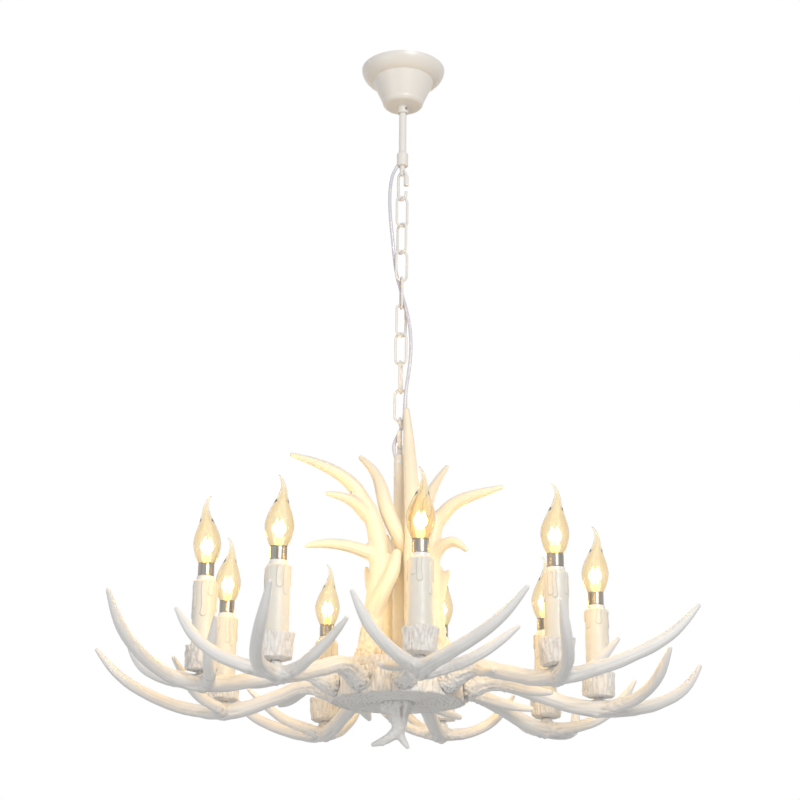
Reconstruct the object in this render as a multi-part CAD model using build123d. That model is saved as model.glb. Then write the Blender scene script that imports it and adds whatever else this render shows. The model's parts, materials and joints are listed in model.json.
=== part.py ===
from build123d import *
import math
import os

# Antler chandelier with nine candle lights, hung on a rod and a short chain.
# Millimetres, +Z up.  The origin is the middle of the ceiling bracket's two
# screw holes, on the ceiling plane; -Y is the side towards the viewer.

os.makedirs("parts", exist_ok=True)

# ---------------------------------------------------------------- driving sizes
play = 0.3                      # clearance between pieces that move on each other

# ceiling fitting
canopy_rim_radius = 56.3
canopy_shoulder_radius = 41.0
canopy_shoulder_drop = 18.0
canopy_neck_radius = 27.5
canopy_neck_drop = 48.5
canopy_floor_radius = 22.0
canopy_height = 55.0
canopy_wall = 1.2
bracket_length = 92.0
bracket_width = 18.0
bracket_sheet = 2.0
bracket_foot = 20.0             # length of each foot that lies on the ceiling
bracket_drop = 14.0             # how far its middle hangs below the ceiling
bracket_hole_spacing = 76.0
bracket_hole_diameter = 4.5
rod_diameter = 10.0
rod_bore = 6.5
rod_top = -4.0
nut_across_flats = 17.0
nut_height = 5.0
collar_diameter = 14.3
collar_height = 11.0
collar_screw_diameter = 4.0
coupler_diameter = 15.2
coupler_top = -126.0
coupler_bottom = -144.9
coupler_grip = 8.0              # depth of rod held in the coupler
stem_diameter = 7.0             # eye stems of the coupler and of the tube cap
stem_length = 14.2
eye_play = 0.5
eye_web = 2.6                   # metal left between an eye and its stem's end
terminal_size = (18.0, 12.0, 9.0)
terminal_drop = 30.0            # middle of the canopy's terminal block, tied to the rod

# chain
chain_wire = 3.3
chain_length = 45.9             # outer length of one link
chain_width = 18.0
chain_turns = (22, -42, 18, 98, 38, -22, 80, -5)    # each link's plane about Z, degrees
quick_wire = 3.8
quick_length = 44.0
quick_width = 17.0
quick_top_turn = -40
quick_bottom_turn = -95
quick_gap = 8.0
quick_gap_below_middle = 1.8
sleeve_nut_length = 14.5
sleeve_nut_across_flats = 6.2

# power cord
cord_diameter = 4.5
cord_hole_play = 0.4
cord_tilt = 30.0                # slope of the cord's exit from the coupler, degrees
cord_entry_tilt = 17.5          # slope of its entry into the tube cap, degrees

# centre tube and hub
tube_diameter = 15.0
tube_bore = 10.2
cap_flange = 4.4
cap_spigot = 14.0
tube_screw_drop = 5.0
hub_radius = 81.6
hub_ripple = 1.4
hub_height = 44.5
hub_top = -820.0
hub_wall = 18.0
hub_floor = 12.0
hub_rebate = 4.3
lid_sheet = 3.5
plate_radius = 23.0
plate_sheet = 3.0
nipple_diameter = 10.0
nipple_bore = 6.0
nut_recess_radius = 11.0
nut_recess_depth = 6.0
seat_width = 39.0               # flat on the hub's side behind each arm
seat_distance = 79.6            # from the hub's axis to that flat
arm_screw_diameter = 6.0
arm_screw_length = 32.0
crown_screw_diameter = 5.0
crown_screw_length = 16.0
screw_head_height = 3.0

# arms: one moulded shape; (outwards from the axis, sideways, height)
arm_count = 9
first_arm_angle = 5.8           # from the front, towards the right, degrees
arm_root_height = -846.0
fork_radius = 243.0
fork_drop = 19.0                # fork's middle below the arm's root
fork_ball_radius = 10.2
# each arm as hand-set: (azimuth offset, droop, roll) in degrees, and the height of
# its candle cup above the fork's middle
arm_settings = (
    (0.0, 1.8, -3.0, 16.0),
    (1.4, -0.9, 2.5, 12.9),
    (3.0, 2.2, 2.5, 14.5),
    (2.0, 2.6, 0.0, 16.5),
    (0.4, 0.4, 1.0, 19.0),
    (-2.4, 1.0, 0.0, 17.0),
    (-0.6, -1.4, -1.0, 14.3),
    (3.6, -2.4, 2.5, 14.5),
    (0.4, 1.0, -3.0, 14.5),
)

# candles
cup_height = 30.0
cup_bottom_radius = 18.3
cup_top_radius = 20.4
cup_socket_depth = 8.0
sleeve_diameter = 28.0
sleeve_wall = 2.2
sleeve_height = 78.0            # above the cup
sleeve_mouth_radius = 10.9
holder_rim_radius = 10.85
holder_rim_height = 4.5
holder_body_radius = 11.4
holder_height = 42.0
holder_bore_radius = 7.2
candle_boss_radius = 9.5        # moulded on the arm, under the cup
candle_nipple_depth = 9.0       # into that boss

# bulbs
bulb_cap_radius = 6.9
bulb_cap_depth = 22.0
bulb_band_radius = 9.7
bulb_band_height = 16.0
bulb_glass_height = 84.0
bulb_glass_radius = 16.6
bulb_glass_wall = 0.9
filament_length = 34.0
filament_radius = 0.9

# finial
finial_top_radius = 19.5


# ---------------------------------------------------------------- small helpers
def save(shape, name):
    """Write one sub-part to its own file."""
    shape.label = name
    export_step(shape, f"parts/{name}.step")
    return shape


def rod_between(start, end, radius):
    """A round bar from one point to another."""
    axis = Vector(*end) - Vector(*start)
    return extrude(Plane(origin=start, z_dir=axis) * Circle(radius), axis.length)


def hex_nut(across_flats, height, bore_radius, top):
    """A hexagonal nut whose upper face is at top."""
    sketch = RegularPolygon(across_flats / 2, 6, major_radius=False) - Circle(bore_radius)
    return Pos(0, 0, top - height) * extrude(sketch, height)


def ring(outer, inner, top, bottom):
    """A flat-ended tube about Z."""
    return Pos(0, 0, bottom) * extrude(Circle(outer) - Circle(inner), top - bottom)


def turned(points):
    """A solid turned about Z from (radius, height) points."""
    return revolve(Plane.XZ * make_face(Polyline(*points, close=True)), Axis.Z, 360)


def limb(points, radii):
    """A tapered antler limb: circles square to a smooth path, with a rounded tip.

    The radii are spaced evenly along the path, root first.
    """
    path = Spline(*points)
    last = len(radii) - 1
    across = Vector(0, 0, 1).cross(path % 0)
    if across.length < 0.2:
        across = Vector(1, 0, 0).cross(path % 0)
    sections = []
    for place, radius in enumerate(radii):
        along = path % (place / last)
        across = across - along * across.dot(along)
        plane = Plane(origin=path @ (place / last), x_dir=across, z_dir=along)
        sections.append(plane * Circle(radius))
    dome = split(Sphere(radii[last]), Plane.XY, keep=Keep.TOP)
    return loft(sections) + plane * dome


def along_z(shape, height, turn):
    """Place a link drawn about the origin at a height, turned about Z."""
    return Pos(0, 0, height) * Rot(0, 0, turn) * shape


# ---------------------------------------------------------------- ceiling fitting
def ceiling_bracket():
    """A pressed strap: two feet on the ceiling and a dropped middle for the rod."""
    half = bracket_length / 2
    inner = half - bracket_foot
    low = -bracket_drop
    slope = bracket_drop / 2
    rise = bracket_drop - bracket_sheet
    outer = inner + bracket_sheet * (math.hypot(rise, slope) - slope) / rise
    side = Polyline(
        (-half, 0), (-inner, 0), (-inner + slope, low + bracket_sheet),
        (inner - slope, low + bracket_sheet), (inner, 0), (half, 0),
        (half, -bracket_sheet), (outer, -bracket_sheet), (outer - slope, low),
        (slope - outer, low), (-outer, -bracket_sheet), (-half, -bracket_sheet), close=True)
    strap = extrude(Plane.XZ * make_face(side), bracket_width / 2, both=True)
    strap -= Cylinder(rod_diameter / 2 + 0.2, 4 * bracket_drop)
    for side in (-1, 1):
        strap -= Pos(side * bracket_hole_spacing / 2, 0, 0) * Cylinder(bracket_hole_diameter / 2, 4 * bracket_sheet)
    return strap


def canopy_shape(inset):
    """The canopy's bell as a full solid, smaller by inset all round."""
    rim = canopy_rim_radius - inset
    shoulder = (canopy_shoulder_radius - inset, -canopy_shoulder_drop + inset)
    bulge = (rim - 4.6, -canopy_shoulder_drop * 0.62 + inset)
    neck = (canopy_neck_radius - inset, -canopy_neck_drop + inset)
    corner = (canopy_neck_radius - 1.6 - inset, -canopy_height + 1.9 + inset)
    floor = (canopy_floor_radius - inset, -canopy_height + inset)
    outline = Line((0, 0), (rim, 0))
    outline += ThreePointArc((rim, 0), bulge, shoulder)
    outline += Line(shoulder, neck)
    outline += ThreePointArc(neck, corner, floor)
    outline += Line(floor, (0, floor[1]))
    outline += Line((0, floor[1]), (0, 0))
    return revolve(Plane.XZ * make_face(outline), Axis.Z, 360)


def canopy():
    bell = canopy_shape(0) - canopy_shape(canopy_wall)
    bell -= Pos(0, 0, -canopy_height) * Cylinder(rod_diameter / 2 + play, 4 * canopy_wall)
    return bell


def collar_screw_place():
    """Frame of the collar's set screw: its head points to the front right."""
    height = -canopy_height - collar_height / 2
    facing = Vector(math.sin(math.radians(38)), -math.cos(math.radians(38)), 0)
    return Plane(origin=(0, 0, height), z_dir=facing)


def canopy_collar():
    collar = ring(collar_diameter / 2, rod_diameter / 2 + play,
                  -canopy_height, -canopy_height - collar_height)
    collar = chamfer(collar.edges().group_by(Axis.Z)[0], 0.7)
    bore = collar_screw_place() * extrude(Circle(collar_screw_diameter / 2), collar_diameter)
    return collar - bore


def collar_screw():
    shank_start = rod_diameter / 2 + play
    shank = extrude(Circle(collar_screw_diameter / 2), collar_diameter / 2 + 1.0 - shank_start)
    slot = Pos(0, 0, collar_diameter / 2 + 1.0 - shank_start) * Box(collar_screw_diameter, 0.9, 1.6)
    return collar_screw_place() * Pos(0, 0, shank_start) * (shank - slot)


def down_rod():
    return ring(rod_diameter / 2, rod_bore / 2, rod_top, coupler_top - coupler_grip)


def rod_nuts():
    """Two nuts that clamp the strap's dropped middle."""
    above = hex_nut(nut_across_flats, nut_height, rod_diameter / 2, -bracket_drop + bracket_sheet + nut_height)
    below = hex_nut(nut_across_flats, nut_height, rod_diameter / 2, -bracket_drop)
    return Compound([above, below])


def eye_cut(link_middle, wire_height, turn):
    """The bent bore that a quick link's end runs through, drawn round its wire."""
    bend = (quick_width - quick_wire) / 2
    torus = Rot(90, 0, 0) * Torus(bend, quick_wire / 2 + eye_play)
    up = 1 if wire_height > link_middle else -1
    return along_z(torus, wire_height - up * bend, turn)


def cord_exit():
    """Where the cord leaves the coupler, and its direction there."""
    tilt = math.radians(cord_tilt)
    direction = Vector(-math.sin(tilt), 0, -math.cos(tilt))
    return Vector(-stem_diameter / 2 - 2.0, 0, coupler_bottom + 2.4), direction


def rod_coupler():
    """Coupler under the rod, with the eye stem that the first quick link hangs in."""
    body = Pos(0, 0, coupler_bottom) * extrude(Circle(coupler_diameter / 2), coupler_top - coupler_bottom)
    body = chamfer(body.edges().group_by(Axis.Z)[-1], 1.4)
    body = chamfer(body.edges().group_by(Axis.Z)[0], 0.6)
    stem = Pos(0, 0, coupler_bottom - stem_length) * extrude(Circle(stem_diameter / 2), stem_length)
    stem = fillet(stem.edges().group_by(Axis.Z)[0], 1.5)
    body += stem
    body -= Pos(0, 0, coupler_top - coupler_grip) * extrude(Circle(rod_diameter / 2), coupler_grip)
    body -= Pos(0, 0, coupler_top - coupler_grip - 2) * extrude(Circle(rod_bore / 2), 3)
    start, direction = cord_exit()
    hole_radius = cord_diameter / 2 + cord_hole_play
    body -= rod_between(start - direction * 12, start + direction * 12, hole_radius)
    return body - eye_cut(quick_top_middle, quick_top_wire, quick_top_turn)


def canopy_wiring():
    """Terminal block inside the canopy, and the lead that runs down in the rod."""
    width, depth, height = terminal_size
    block = Pos(rod_diameter / 2 + play + width / 2, 0, -terminal_drop) * Box(width, depth, height)
    block = chamfer(block.edges().filter_by(Axis.Z), 1.2)
    exit_point, direction = cord_exit()
    turn_point = Vector(0, 0, exit_point.Z + exit_point.X / math.tan(math.radians(cord_tilt)) * -1)
    reach = (turn_point - exit_point).length
    radius = 0.45 * reach / math.tan(math.radians(cord_tilt / 2))
    path = FilletPolyline((0, 0, rod_top + 1), turn_point, exit_point, radius=radius)
    lead = sweep(Plane(origin=path @ 0, z_dir=path % 0) * Circle(cord_diameter / 2), path)
    return Compound([block, lead])


# ---------------------------------------------------------------- chain
quick_top_wire = coupler_bottom - stem_length + eye_web + eye_play + quick_wire / 2
quick_top_middle = quick_top_wire - quick_length / 2 + quick_wire / 2
quick_top_pivot = quick_top_middle - quick_length / 2 + quick_wire / 2
first_link_top = quick_top_pivot + quick_wire / 2 + play + chain_wire / 2
first_link_middle = first_link_top - chain_length / 2 + chain_wire / 2
link_pitch = chain_length - 2 * chain_wire - play
link_middles = [first_link_middle - place * link_pitch for place in range(len(chain_turns))]
last_link_pivot = link_middles[-1] - chain_length / 2 + chain_wire / 2
quick_bottom_wire = last_link_pivot + chain_wire / 2 + play + quick_wire / 2
quick_bottom_middle = quick_bottom_wire - quick_length / 2 + quick_wire / 2
quick_bottom_pivot = quick_bottom_middle - quick_length / 2 + quick_wire / 2
cap_stem_top = quick_bottom_pivot + quick_wire / 2 + eye_play + eye_web
cap_top = cap_stem_top - stem_length


def oval(length, width, wire):
    """A closed link about the origin, in the XZ plane."""
    bend = (width - wire) / 2
    half = (length - width) / 2
    torus = Rot(90, 0, 0) * Torus(bend, wire / 2)
    arch = split(torus, Plane.XY, keep=Keep.TOP)
    shape = Pos(0, 0, half) * arch + Pos(0, 0, -half) * Rot(180, 0, 0) * arch
    for side in (-1, 1):
        shape += Pos(side * bend, 0, -half) * extrude(Circle(wire / 2), 2 * half)
    return shape


def quick_link():
    """An oval link with a gap in its right leg, which the sleeve nut closes."""
    bend = (quick_width - quick_wire) / 2
    gap_middle = -quick_gap_below_middle - quick_gap / 2
    return oval(quick_length, quick_width, quick_wire) - Pos(bend, 0, gap_middle) * Box(quick_wire + 1, quick_wire + 1, quick_gap)


def sleeve_nut():
    """The quick link's nut, standing open above the gap."""
    bend = (quick_width - quick_wire) / 2
    top = (quick_length - quick_width) / 2 - play
    nut = hex_nut(sleeve_nut_across_flats, sleeve_nut_length, quick_wire / 2 + play / 2, top)
    return Pos(bend, 0, 0) * nut


def chain_links():
    link = oval(chain_length, chain_width, chain_wire)
    return [along_z(link, middle, turn) for middle, turn in zip(link_middles, chain_turns)]


# ---------------------------------------------------------------- power cord
cord_route = [
    (-14.4, -1.6, -164.0), (-16.6, -3.2, -184.0),
    (-16.2, -3.6, -210.0), (-14.2, -2.4, -234.0), (-11.6, 0.6, -257.0),
    (-9.6, 3.8, -279.0), (-6.4, 4.4, -301.0), (-1.6, 1.6, -322.0),
    (3.6, -1.2, -341.0), (8.2, -2.6, -359.0), (11.6, -3.0, -378.0),
    (13.2, -3.4, -399.0), (12.6, -3.2, -421.0), (10.2, -3.6, -442.0),
    (7.4, -4.8, -461.0), (5.8, -5.6, -480.0), (5.4, -5.9, -498.0),
    (4.2, -4.4, -512.0), (-1.6, 0.4, -522.0), (-7.0, 0.8, -533.0),
]


def cord_entry():
    """Where the cord goes into the tube cap, and its direction there."""
    tilt = math.radians(cord_entry_tilt)
    direction = Vector(math.sin(tilt), 0, -math.cos(tilt))
    return Vector(-stem_diameter / 2 - 1.8, 0, cap_top - 2.4), direction


def power_cord():
    """The free cord from the coupler to the tube cap: runs joined by tangent arcs."""
    start, outwards = cord_exit()
    end, inwards = cord_entry()
    points = [start, start + outwards * 11] + [Vector(*point) for point in cord_route]
    points += [end - inwards * 11, end]
    radii = []
    for before, corner, after in zip(points, points[1:], points[2:]):
        turn = math.radians((corner - before).get_angle(after - corner))
        shorter = min((corner - before).length, (after - corner).length)
        radii.append(0.45 * shorter / math.tan(turn / 2))
    path = FilletPolyline(*points, radius=radii)
    tube = sweep(Plane(origin=path @ 0, z_dir=path % 0) * Circle(cord_diameter / 2), path)
    length = path.length
    print("cord length", round(length, 1), "radii", [round(radius) for radius in radii])
    print("cord volume over section times length",
          round(tube.volume / (math.pi * cord_diameter ** 2 / 4 * length), 4))
    return tube


# ---------------------------------------------------------------- centre tube and hub
hub_bottom = hub_top - hub_height
cavity_floor = hub_bottom + hub_floor
cavity_radius = hub_radius - hub_wall
plate_top = cavity_floor + plate_sheet


def tube_cap():
    """Cap with the eye stem that hangs in the last quick link."""
    body = Pos(0, 0, cap_top - cap_flange) * extrude(Circle(tube_diameter / 2), cap_flange)
    body = chamfer(body.edges().group_by(Axis.Z)[-1], 0.8)
    spigot_bottom = cap_top - cap_flange - cap_spigot
    body += Pos(0, 0, spigot_bottom) * extrude(Circle(tube_bore / 2), cap_spigot)
    stem = Pos(0, 0, cap_top) * extrude(Circle(stem_diameter / 2), stem_length)
    body += fillet(stem.edges().group_by(Axis.Z)[-1], 1.5)
    entry, direction = cord_entry()
    hole_radius = cord_diameter / 2 + cord_hole_play
    body -= rod_between(entry - direction * 12, entry + direction * 18, hole_radius)
    body -= Pos(0, 0, spigot_bottom) * extrude(Circle(hole_radius + cord_hole_play), cap_spigot - 3)
    screw_depth = cap_top - cap_flange - tube_screw_drop
    body -= rod_between((0, -tube_diameter, screw_depth), (0, -tube_bore / 2 + 1.6, screw_depth), 2.0)
    return body - eye_cut(quick_bottom_middle, quick_bottom_pivot, quick_bottom_turn)


def tube_screw():
    """Set screw through the tube's wall into the cap's spigot."""
    height = cap_top - cap_flange - tube_screw_drop
    start = (0, -tube_bore / 2 + 1.6, height)
    screw = rod_between(start, (0, -tube_diameter / 2 - 0.4, height), 2.0)
    return screw - Pos(0, -tube_diameter / 2 - 0.4, height) * Box(1.6, 1.6, 1.6)


def centre_tube():
    tube = ring(tube_diameter / 2, tube_bore / 2, cap_top - cap_flange, plate_top)
    height = cap_top - cap_flange - tube_screw_drop
    tube -= rod_between((0, 0, height), (0, -tube_diameter, height), 2.0)
    entry, direction = cord_entry()
    tube -= rod_between(entry, entry + direction * 18, cord_diameter / 2 + cord_hole_play)
    window = plate_top + 15
    return tube - Pos(tube_diameter / 2, 0, window + 5) * Box(tube_diameter, 6, 10)


def hub_wiring():
    """Lead in the tube, and the terminal block that stands in the hub."""
    width, depth, height = terminal_size
    block = Pos(40, 0, cavity_floor + height / 2) * Box(width, depth, height)
    block = chamfer(block.edges().filter_by(Axis.Z), 1.2)
    entry, direction = cord_entry()
    reach = -entry.X / math.sin(math.radians(cord_entry_tilt))
    corner = entry + direction * reach
    window = plate_top + 20
    radius = 0.45 * reach / math.tan(math.radians(cord_entry_tilt / 2))
    path = FilletPolyline(entry, corner, (0, 0, window), radius=radius)
    lead = sweep(Plane(origin=path @ 0, z_dir=path % 0) * Circle(cord_diameter / 2), path)
    return Compound([block, lead])


def hub_plate():
    return ring(plate_radius, nipple_diameter / 2 + 0.2, plate_top, cavity_floor)


def hub_nipple():
    """Threaded tube through the hub's floor: the tube screws on above, the finial below."""
    return ring(nipple_diameter / 2, nipple_bore / 2, plate_top + 14, hub_bottom - 11)


def hub_nut():
    return hex_nut(nut_across_flats, nut_height, nipple_diameter / 2, hub_bottom + nut_recess_depth)


def arm_angle(number):
    """Direction of an arm, in degrees from the front towards the right."""
    return first_arm_angle + 360 / arm_count * number + arm_settings[number][0]


def outward(angle):
    """Turns a shape drawn along +X so that it points out at that angle."""
    return Rot(0, 0, angle - 90)


crown_feet = ((-36, -30), (22, -42), (47, -5), (38, 34), (-16, 44))


def hub_body():
    """A slice of trunk: rippled bark edge, hollow inside, with a flat behind each arm."""
    rim = []
    for step in range(36):
        angle = math.radians(step * 10)
        wave = math.sin(5 * angle) + 0.6 * math.sin(8 * angle + 1)
        radius = hub_radius + hub_ripple * wave
        rim.append((radius * math.cos(angle), radius * math.sin(angle)))
    body = Pos(0, 0, hub_bottom) * extrude(make_face(Spline(*rim, periodic=True)), hub_height)
    body = chamfer(body.edges().group_by(Axis.Z)[0], 1.5)
    body -= Pos(0, 0, cavity_floor) * extrude(Circle(cavity_radius), hub_height)
    body -= Pos(0, 0, hub_top - lid_sheet) * extrude(Circle(cavity_radius + hub_rebate), hub_height)
    body -= Pos(0, 0, hub_bottom) * extrude(Circle(nut_recess_radius), nut_recess_depth)
    body -= Pos(0, 0, hub_bottom) * extrude(Circle(nipple_diameter / 2 + 0.2), hub_height)
    for number in range(arm_count):
        flat = Pos(seat_distance + 20, 0, arm_root_height) * Box(40, seat_width, 40)
        bore = Pos(cavity_radius - 5, 0, arm_root_height) * Rot(0, 90, 0) * extrude(
            Circle(arm_screw_diameter / 2 + 0.2), hub_wall + 20)
        spot_face = Pos(cavity_radius - 3, 0, arm_root_height) * Rot(0, 90, 0) * extrude(
            Circle(arm_screw_diameter), 3)
        body -= outward(arm_angle(number)) * (flat + bore + spot_face)
    return body


def hub_lid():
    """Steel lid in the hub's rebate, which carries the upright antlers."""
    lid = ring(cavity_radius + hub_rebate - play, tube_diameter / 2 + play, hub_top, hub_top - lid_sheet)
    for foot in crown_feet:
        lid -= Pos(foot[0], foot[1], hub_top) * Cylinder(crown_screw_diameter / 2 + 0.2, 4 * lid_sheet)
    return lid


def hub_screws():
    """One screw out of the hub into each arm, and one up into each upright antler."""
    screws = []
    for number in range(arm_count):
        head_radius = arm_screw_diameter * 0.85
        shank = extrude(Circle(arm_screw_diameter / 2), arm_screw_length)
        head = Pos(0, 0, -screw_head_height) * extrude(Circle(head_radius), screw_head_height)
        screw = Pos(cavity_radius, 0, arm_root_height) * Rot(0, 90, 0) * (shank + head)
        screws.append(outward(arm_angle(number)) * screw)
    for foot in crown_feet:
        shank = extrude(Circle(crown_screw_diameter / 2), crown_screw_length)
        head = Pos(0, 0, -screw_head_height) * extrude(Circle(crown_screw_diameter * 0.85), screw_head_height)
        screws.append(Pos(foot[0], foot[1], hub_top - lid_sheet) * (shank + head))
    return Compound(screws)


# ---------------------------------------------------------------- antlers
fork = (fork_radius, 0, arm_root_height - fork_drop)


def from_fork(out, side, up):
    """A point of the arm, measured from its fork."""
    return (fork[0] + out, fork[1] + side, fork[2] + up)


def from_root(out, side, up):
    """A point of the arm, measured from the middle of its seat on the hub."""
    return (seat_distance + out, side, arm_root_height + up)


def on_beam(share, side, up):
    """A point beside the beam, at a share of the way out from the seat to the fork."""
    return from_root(share * (fork_radius - seat_distance), side, up)


def arm_shape():
    """The moulded arm along +X: burr, beam, side spur, fork and three tines."""
    beam = limb(
        [from_root(-6, 0, 0), on_beam(0.06, 0, 1.5), on_beam(0.17, 1, 7.5), on_beam(0.295, 2.5, 8.5),
         on_beam(0.44, 0, 1.5), on_beam(0.6, 0, -6), on_beam(0.78, 0, -14.5), fork],
        [14.5, 11.8, 10.2, 9.5, 9.2, 9.2, 9.4, 10.0])
    burr = limb([from_root(-6, 0, 0), from_root(3, 0, 0.5), from_root(14, 0, 2)], [14.6, 16.4, 15.4, 11.8])
    left = limb(
        [fork, from_fork(18, -14, 3.5), from_fork(40, -33, 10.5), from_fork(61, -60, 30), from_fork(75, -84, 64)],
        [8.6, 7.9, 7.3, 6.8, 5.9, 2.4])
    long = limb(
        [fork, from_fork(22, 4, 1), from_fork(48, 14, 5.5), from_fork(85, 40, 20), from_fork(114, 68, 42),
         from_fork(134, 91, 71)],
        [9.4, 8.4, 7.6, 7.0, 5.8, 2.6])
    right = limb(
        [from_fork(-3, 0, -2.5), from_fork(-4, 24, 4), from_fork(5, 50, 13.5), from_fork(9, 77, 31),
         from_fork(13, 103, 53)],
        [8.6, 7.4, 6.8, 6.1, 5.0, 2.3])
    spur = limb(
        [on_beam(0.305, 0, 6.5), on_beam(0.405, -13, 1), on_beam(0.515, -27, -4), on_beam(0.625, -38, -6)],
        [7.6, 7.0, 5.8, 3.4])
    return beam + burr + left + long + right + spur + Pos(fork) * Sphere(fork_ball_radius)


def arm_place(number):
    """Turns the arm to its side of the hub, with its own droop and roll about its root."""
    droop, roll = arm_settings[number][1:3]
    root = Pos(seat_distance, 0, arm_root_height)
    back = Pos(-seat_distance, 0, -arm_root_height)
    return outward(arm_angle(number)) * root * Rot(0, droop, 0) * Rot(roll, 0, 0) * back


def candle_foot(number):
    """Middle of the candle cup's underside, straight above the arm's fork."""
    place = arm_place(number) * Pos(fork)
    return place.position + Vector(0, 0, arm_settings[number][3])


def arm_antlers():
    """Each arm cut flush with its seat on the hub, and flat under its candle cup."""
    shape = arm_shape()
    arms = []
    for number in range(arm_count):
        arm = arm_place(number) * shape
        inside = Pos(seat_distance - 40, 0, arm_root_height) * Box(80, 80, 80)
        bore = Pos(cavity_radius, 0, arm_root_height) * Rot(0, 90, 0) * extrude(
            Circle(arm_screw_diameter / 2), arm_screw_length)
        arm -= outward(arm_angle(number)) * (inside + bore)
        foot = candle_foot(number)
        arm += Pos(foot) * Pos(0, 0, -arm_settings[number][3]) * extrude(
            Circle(candle_boss_radius), arm_settings[number][3])
        arm -= Pos(foot) * extrude(Circle(cup_bottom_radius + 2), 30)
        arm -= Pos(foot) * Pos(0, 0, -candle_nipple_depth) * extrude(Circle(nipple_diameter / 2), 20)
        arms.append(arm)
    return arms


def crown_antler(foot, limbs):
    """An upright antler: burr on the hub's lid, then its limbs, each (points, radii)."""
    x, y = foot
    shape = limb([(x, y, hub_top - 4), (x, y, hub_top + 5), (x * 0.97, y * 0.97, hub_top + 18)],
                 [17.0, 18.2, 17.0, 13.0])
    for points, radii in limbs:
        shape += limb(points, radii)
    shape -= Pos(0, 0, hub_top - hub_height / 2) * Cylinder(2 * hub_radius, hub_height)
    hole_top = hub_top - lid_sheet + crown_screw_length
    shape -= Pos(x, y, hub_top - 5) * extrude(Circle(crown_screw_diameter / 2), hole_top - hub_top + 5)
    return shape


crown_limbs = (
    # left: a thick trunk that sweeps out to a long tine, with five shorter limbs
    (
        ([(-36, -30, -822), (-31, -31, -777), (-26, -31, -733), (-24, -30, -695), (-29, -31, -657), (-37, -32, -632)],
         [13.5, 12.6, 11.8, 11.2, 10.4, 8.8]),
        ([(-36, -32, -635), (-58, -40, -603), (-94, -46, -580), (-133, -52, -568)], [8.6, 8.0, 6.8, 5.0, 2.3]),
        ([(-37, -33, -642), (-64, -50, -623), (-88, -58, -619)], [7.6, 6.4, 4.8, 2.2]),
        ([(-26, -31, -690), (-54, -38, -682), (-84, -47, -679), (-112, -54, -684)], [8.0, 7.0, 6.2, 5.0, 2.2]),
        ([(-33, -34, -772), (-23, -43, -745), (-9, -45, -716), (-3, -43, -690)], [9.6, 8.8, 8.2, 7.4, 5.2]),
        ([(-29, -29, -762), (-19, -22, -722), (-15, -20, -690), (-17, -18, -664)], [9.0, 8.0, 7.0, 4.2]),
        ([(-30, -27, -736), (-37, -19, -720), (-40, -14, -702)], [6.6, 5.0, 3.6, 2.0]),
    ),
    # front right: one tall limb that stands past the end of the tube
    (
        ([(22, -42, -822), (19, -43, -745), (17, -42.5, -695), (17, -35, -642), (14, -25, -589),
          (11, -18, -541), (8, -16.5, -497)],
         [12.5, 11.4, 10.6, 10.0, 9.4, 8.2, 6.4, 3.4]),
        ([(18, -41, -735), (26, -52, -705), (30, -66, -680)], [7.4, 6.0, 4.6, 2.4]),
    ),
    # right: forks high, with one limb that leans across the front of the tube
    (
        ([(47, -5, -822), (43, -3, -760), (39, 0, -700), (41, 0, -660), (46, 0, -634)],
         [13.0, 12.0, 11.4, 10.6, 9.0]),
        ([(45, 0, -641), (66, -4, -617), (94, -10, -605), (127, -14, -596)], [8.2, 7.8, 6.6, 4.8, 2.2]),
        ([(40, 1, -660), (34, 12, -620), (42, 22, -588), (60, 32, -556)], [8.4, 7.6, 6.4, 4.8, 2.2]),
        ([(40, 0, -690), (51, -8, -673), (65, -14, -667), (82, -20, -678)], [7.4, 7.0, 6.2, 5.0, 2.4]),
        ([(41, -4, -742), (29, -15, -712), (14, -20, -687), (-2, -25, -660), (-16, -27, -628),
          (-24, -23, -598), (-34, -16, -575), (-49, -10, -558)],
         [9.0, 8.8, 8.6, 8.6, 8.4, 7.4, 5.4, 2.6]),
    ),
    # back right: low, with a small forked tip
    (
        ([(38, 34, -822), (42, 38, -775), (46, 43, -730)], [12.5, 11.4, 10.4, 8.0]),
        ([(46, 43, -733), (49, 46, -712), (52, 46, -689)], [6.8, 5.4, 4.0, 2.0]),
        ([(46, 43, -735), (54, 48, -714), (62, 50, -689)], [6.8, 5.4, 4.0, 2.0]),
        ([(42, 38, -770), (40, 58, -738), (30, 82, -708), (22, 104, -668)], [9.2, 8.4, 7.2, 5.4, 2.4]),
    ),
    # back left: a trunk behind the tube with two tines to the rear
    (
        ([(-16, 44, -822), (-15, 40, -775), (-13, 39, -725), (-17, 44, -680), (-30, 58, -640)],
         [12.5, 11.6, 11.0, 10.2, 9.0, 7.6]),
        ([(-29, 57, -643), (-35, 72, -616), (-42, 86, -592)], [7.4, 6.4, 4.8, 2.4]),
        ([(-18, 46, -690), (-8, 62, -656), (2, 80, -628), (10, 92, -590)], [8.0, 7.0, 5.8, 2.4]),
        ([(-15, 42, -752), (-24, 62, -738), (-32, 82, -730)], [7.4, 6.0, 4.4, 2.2]),
    ),
)


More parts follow.
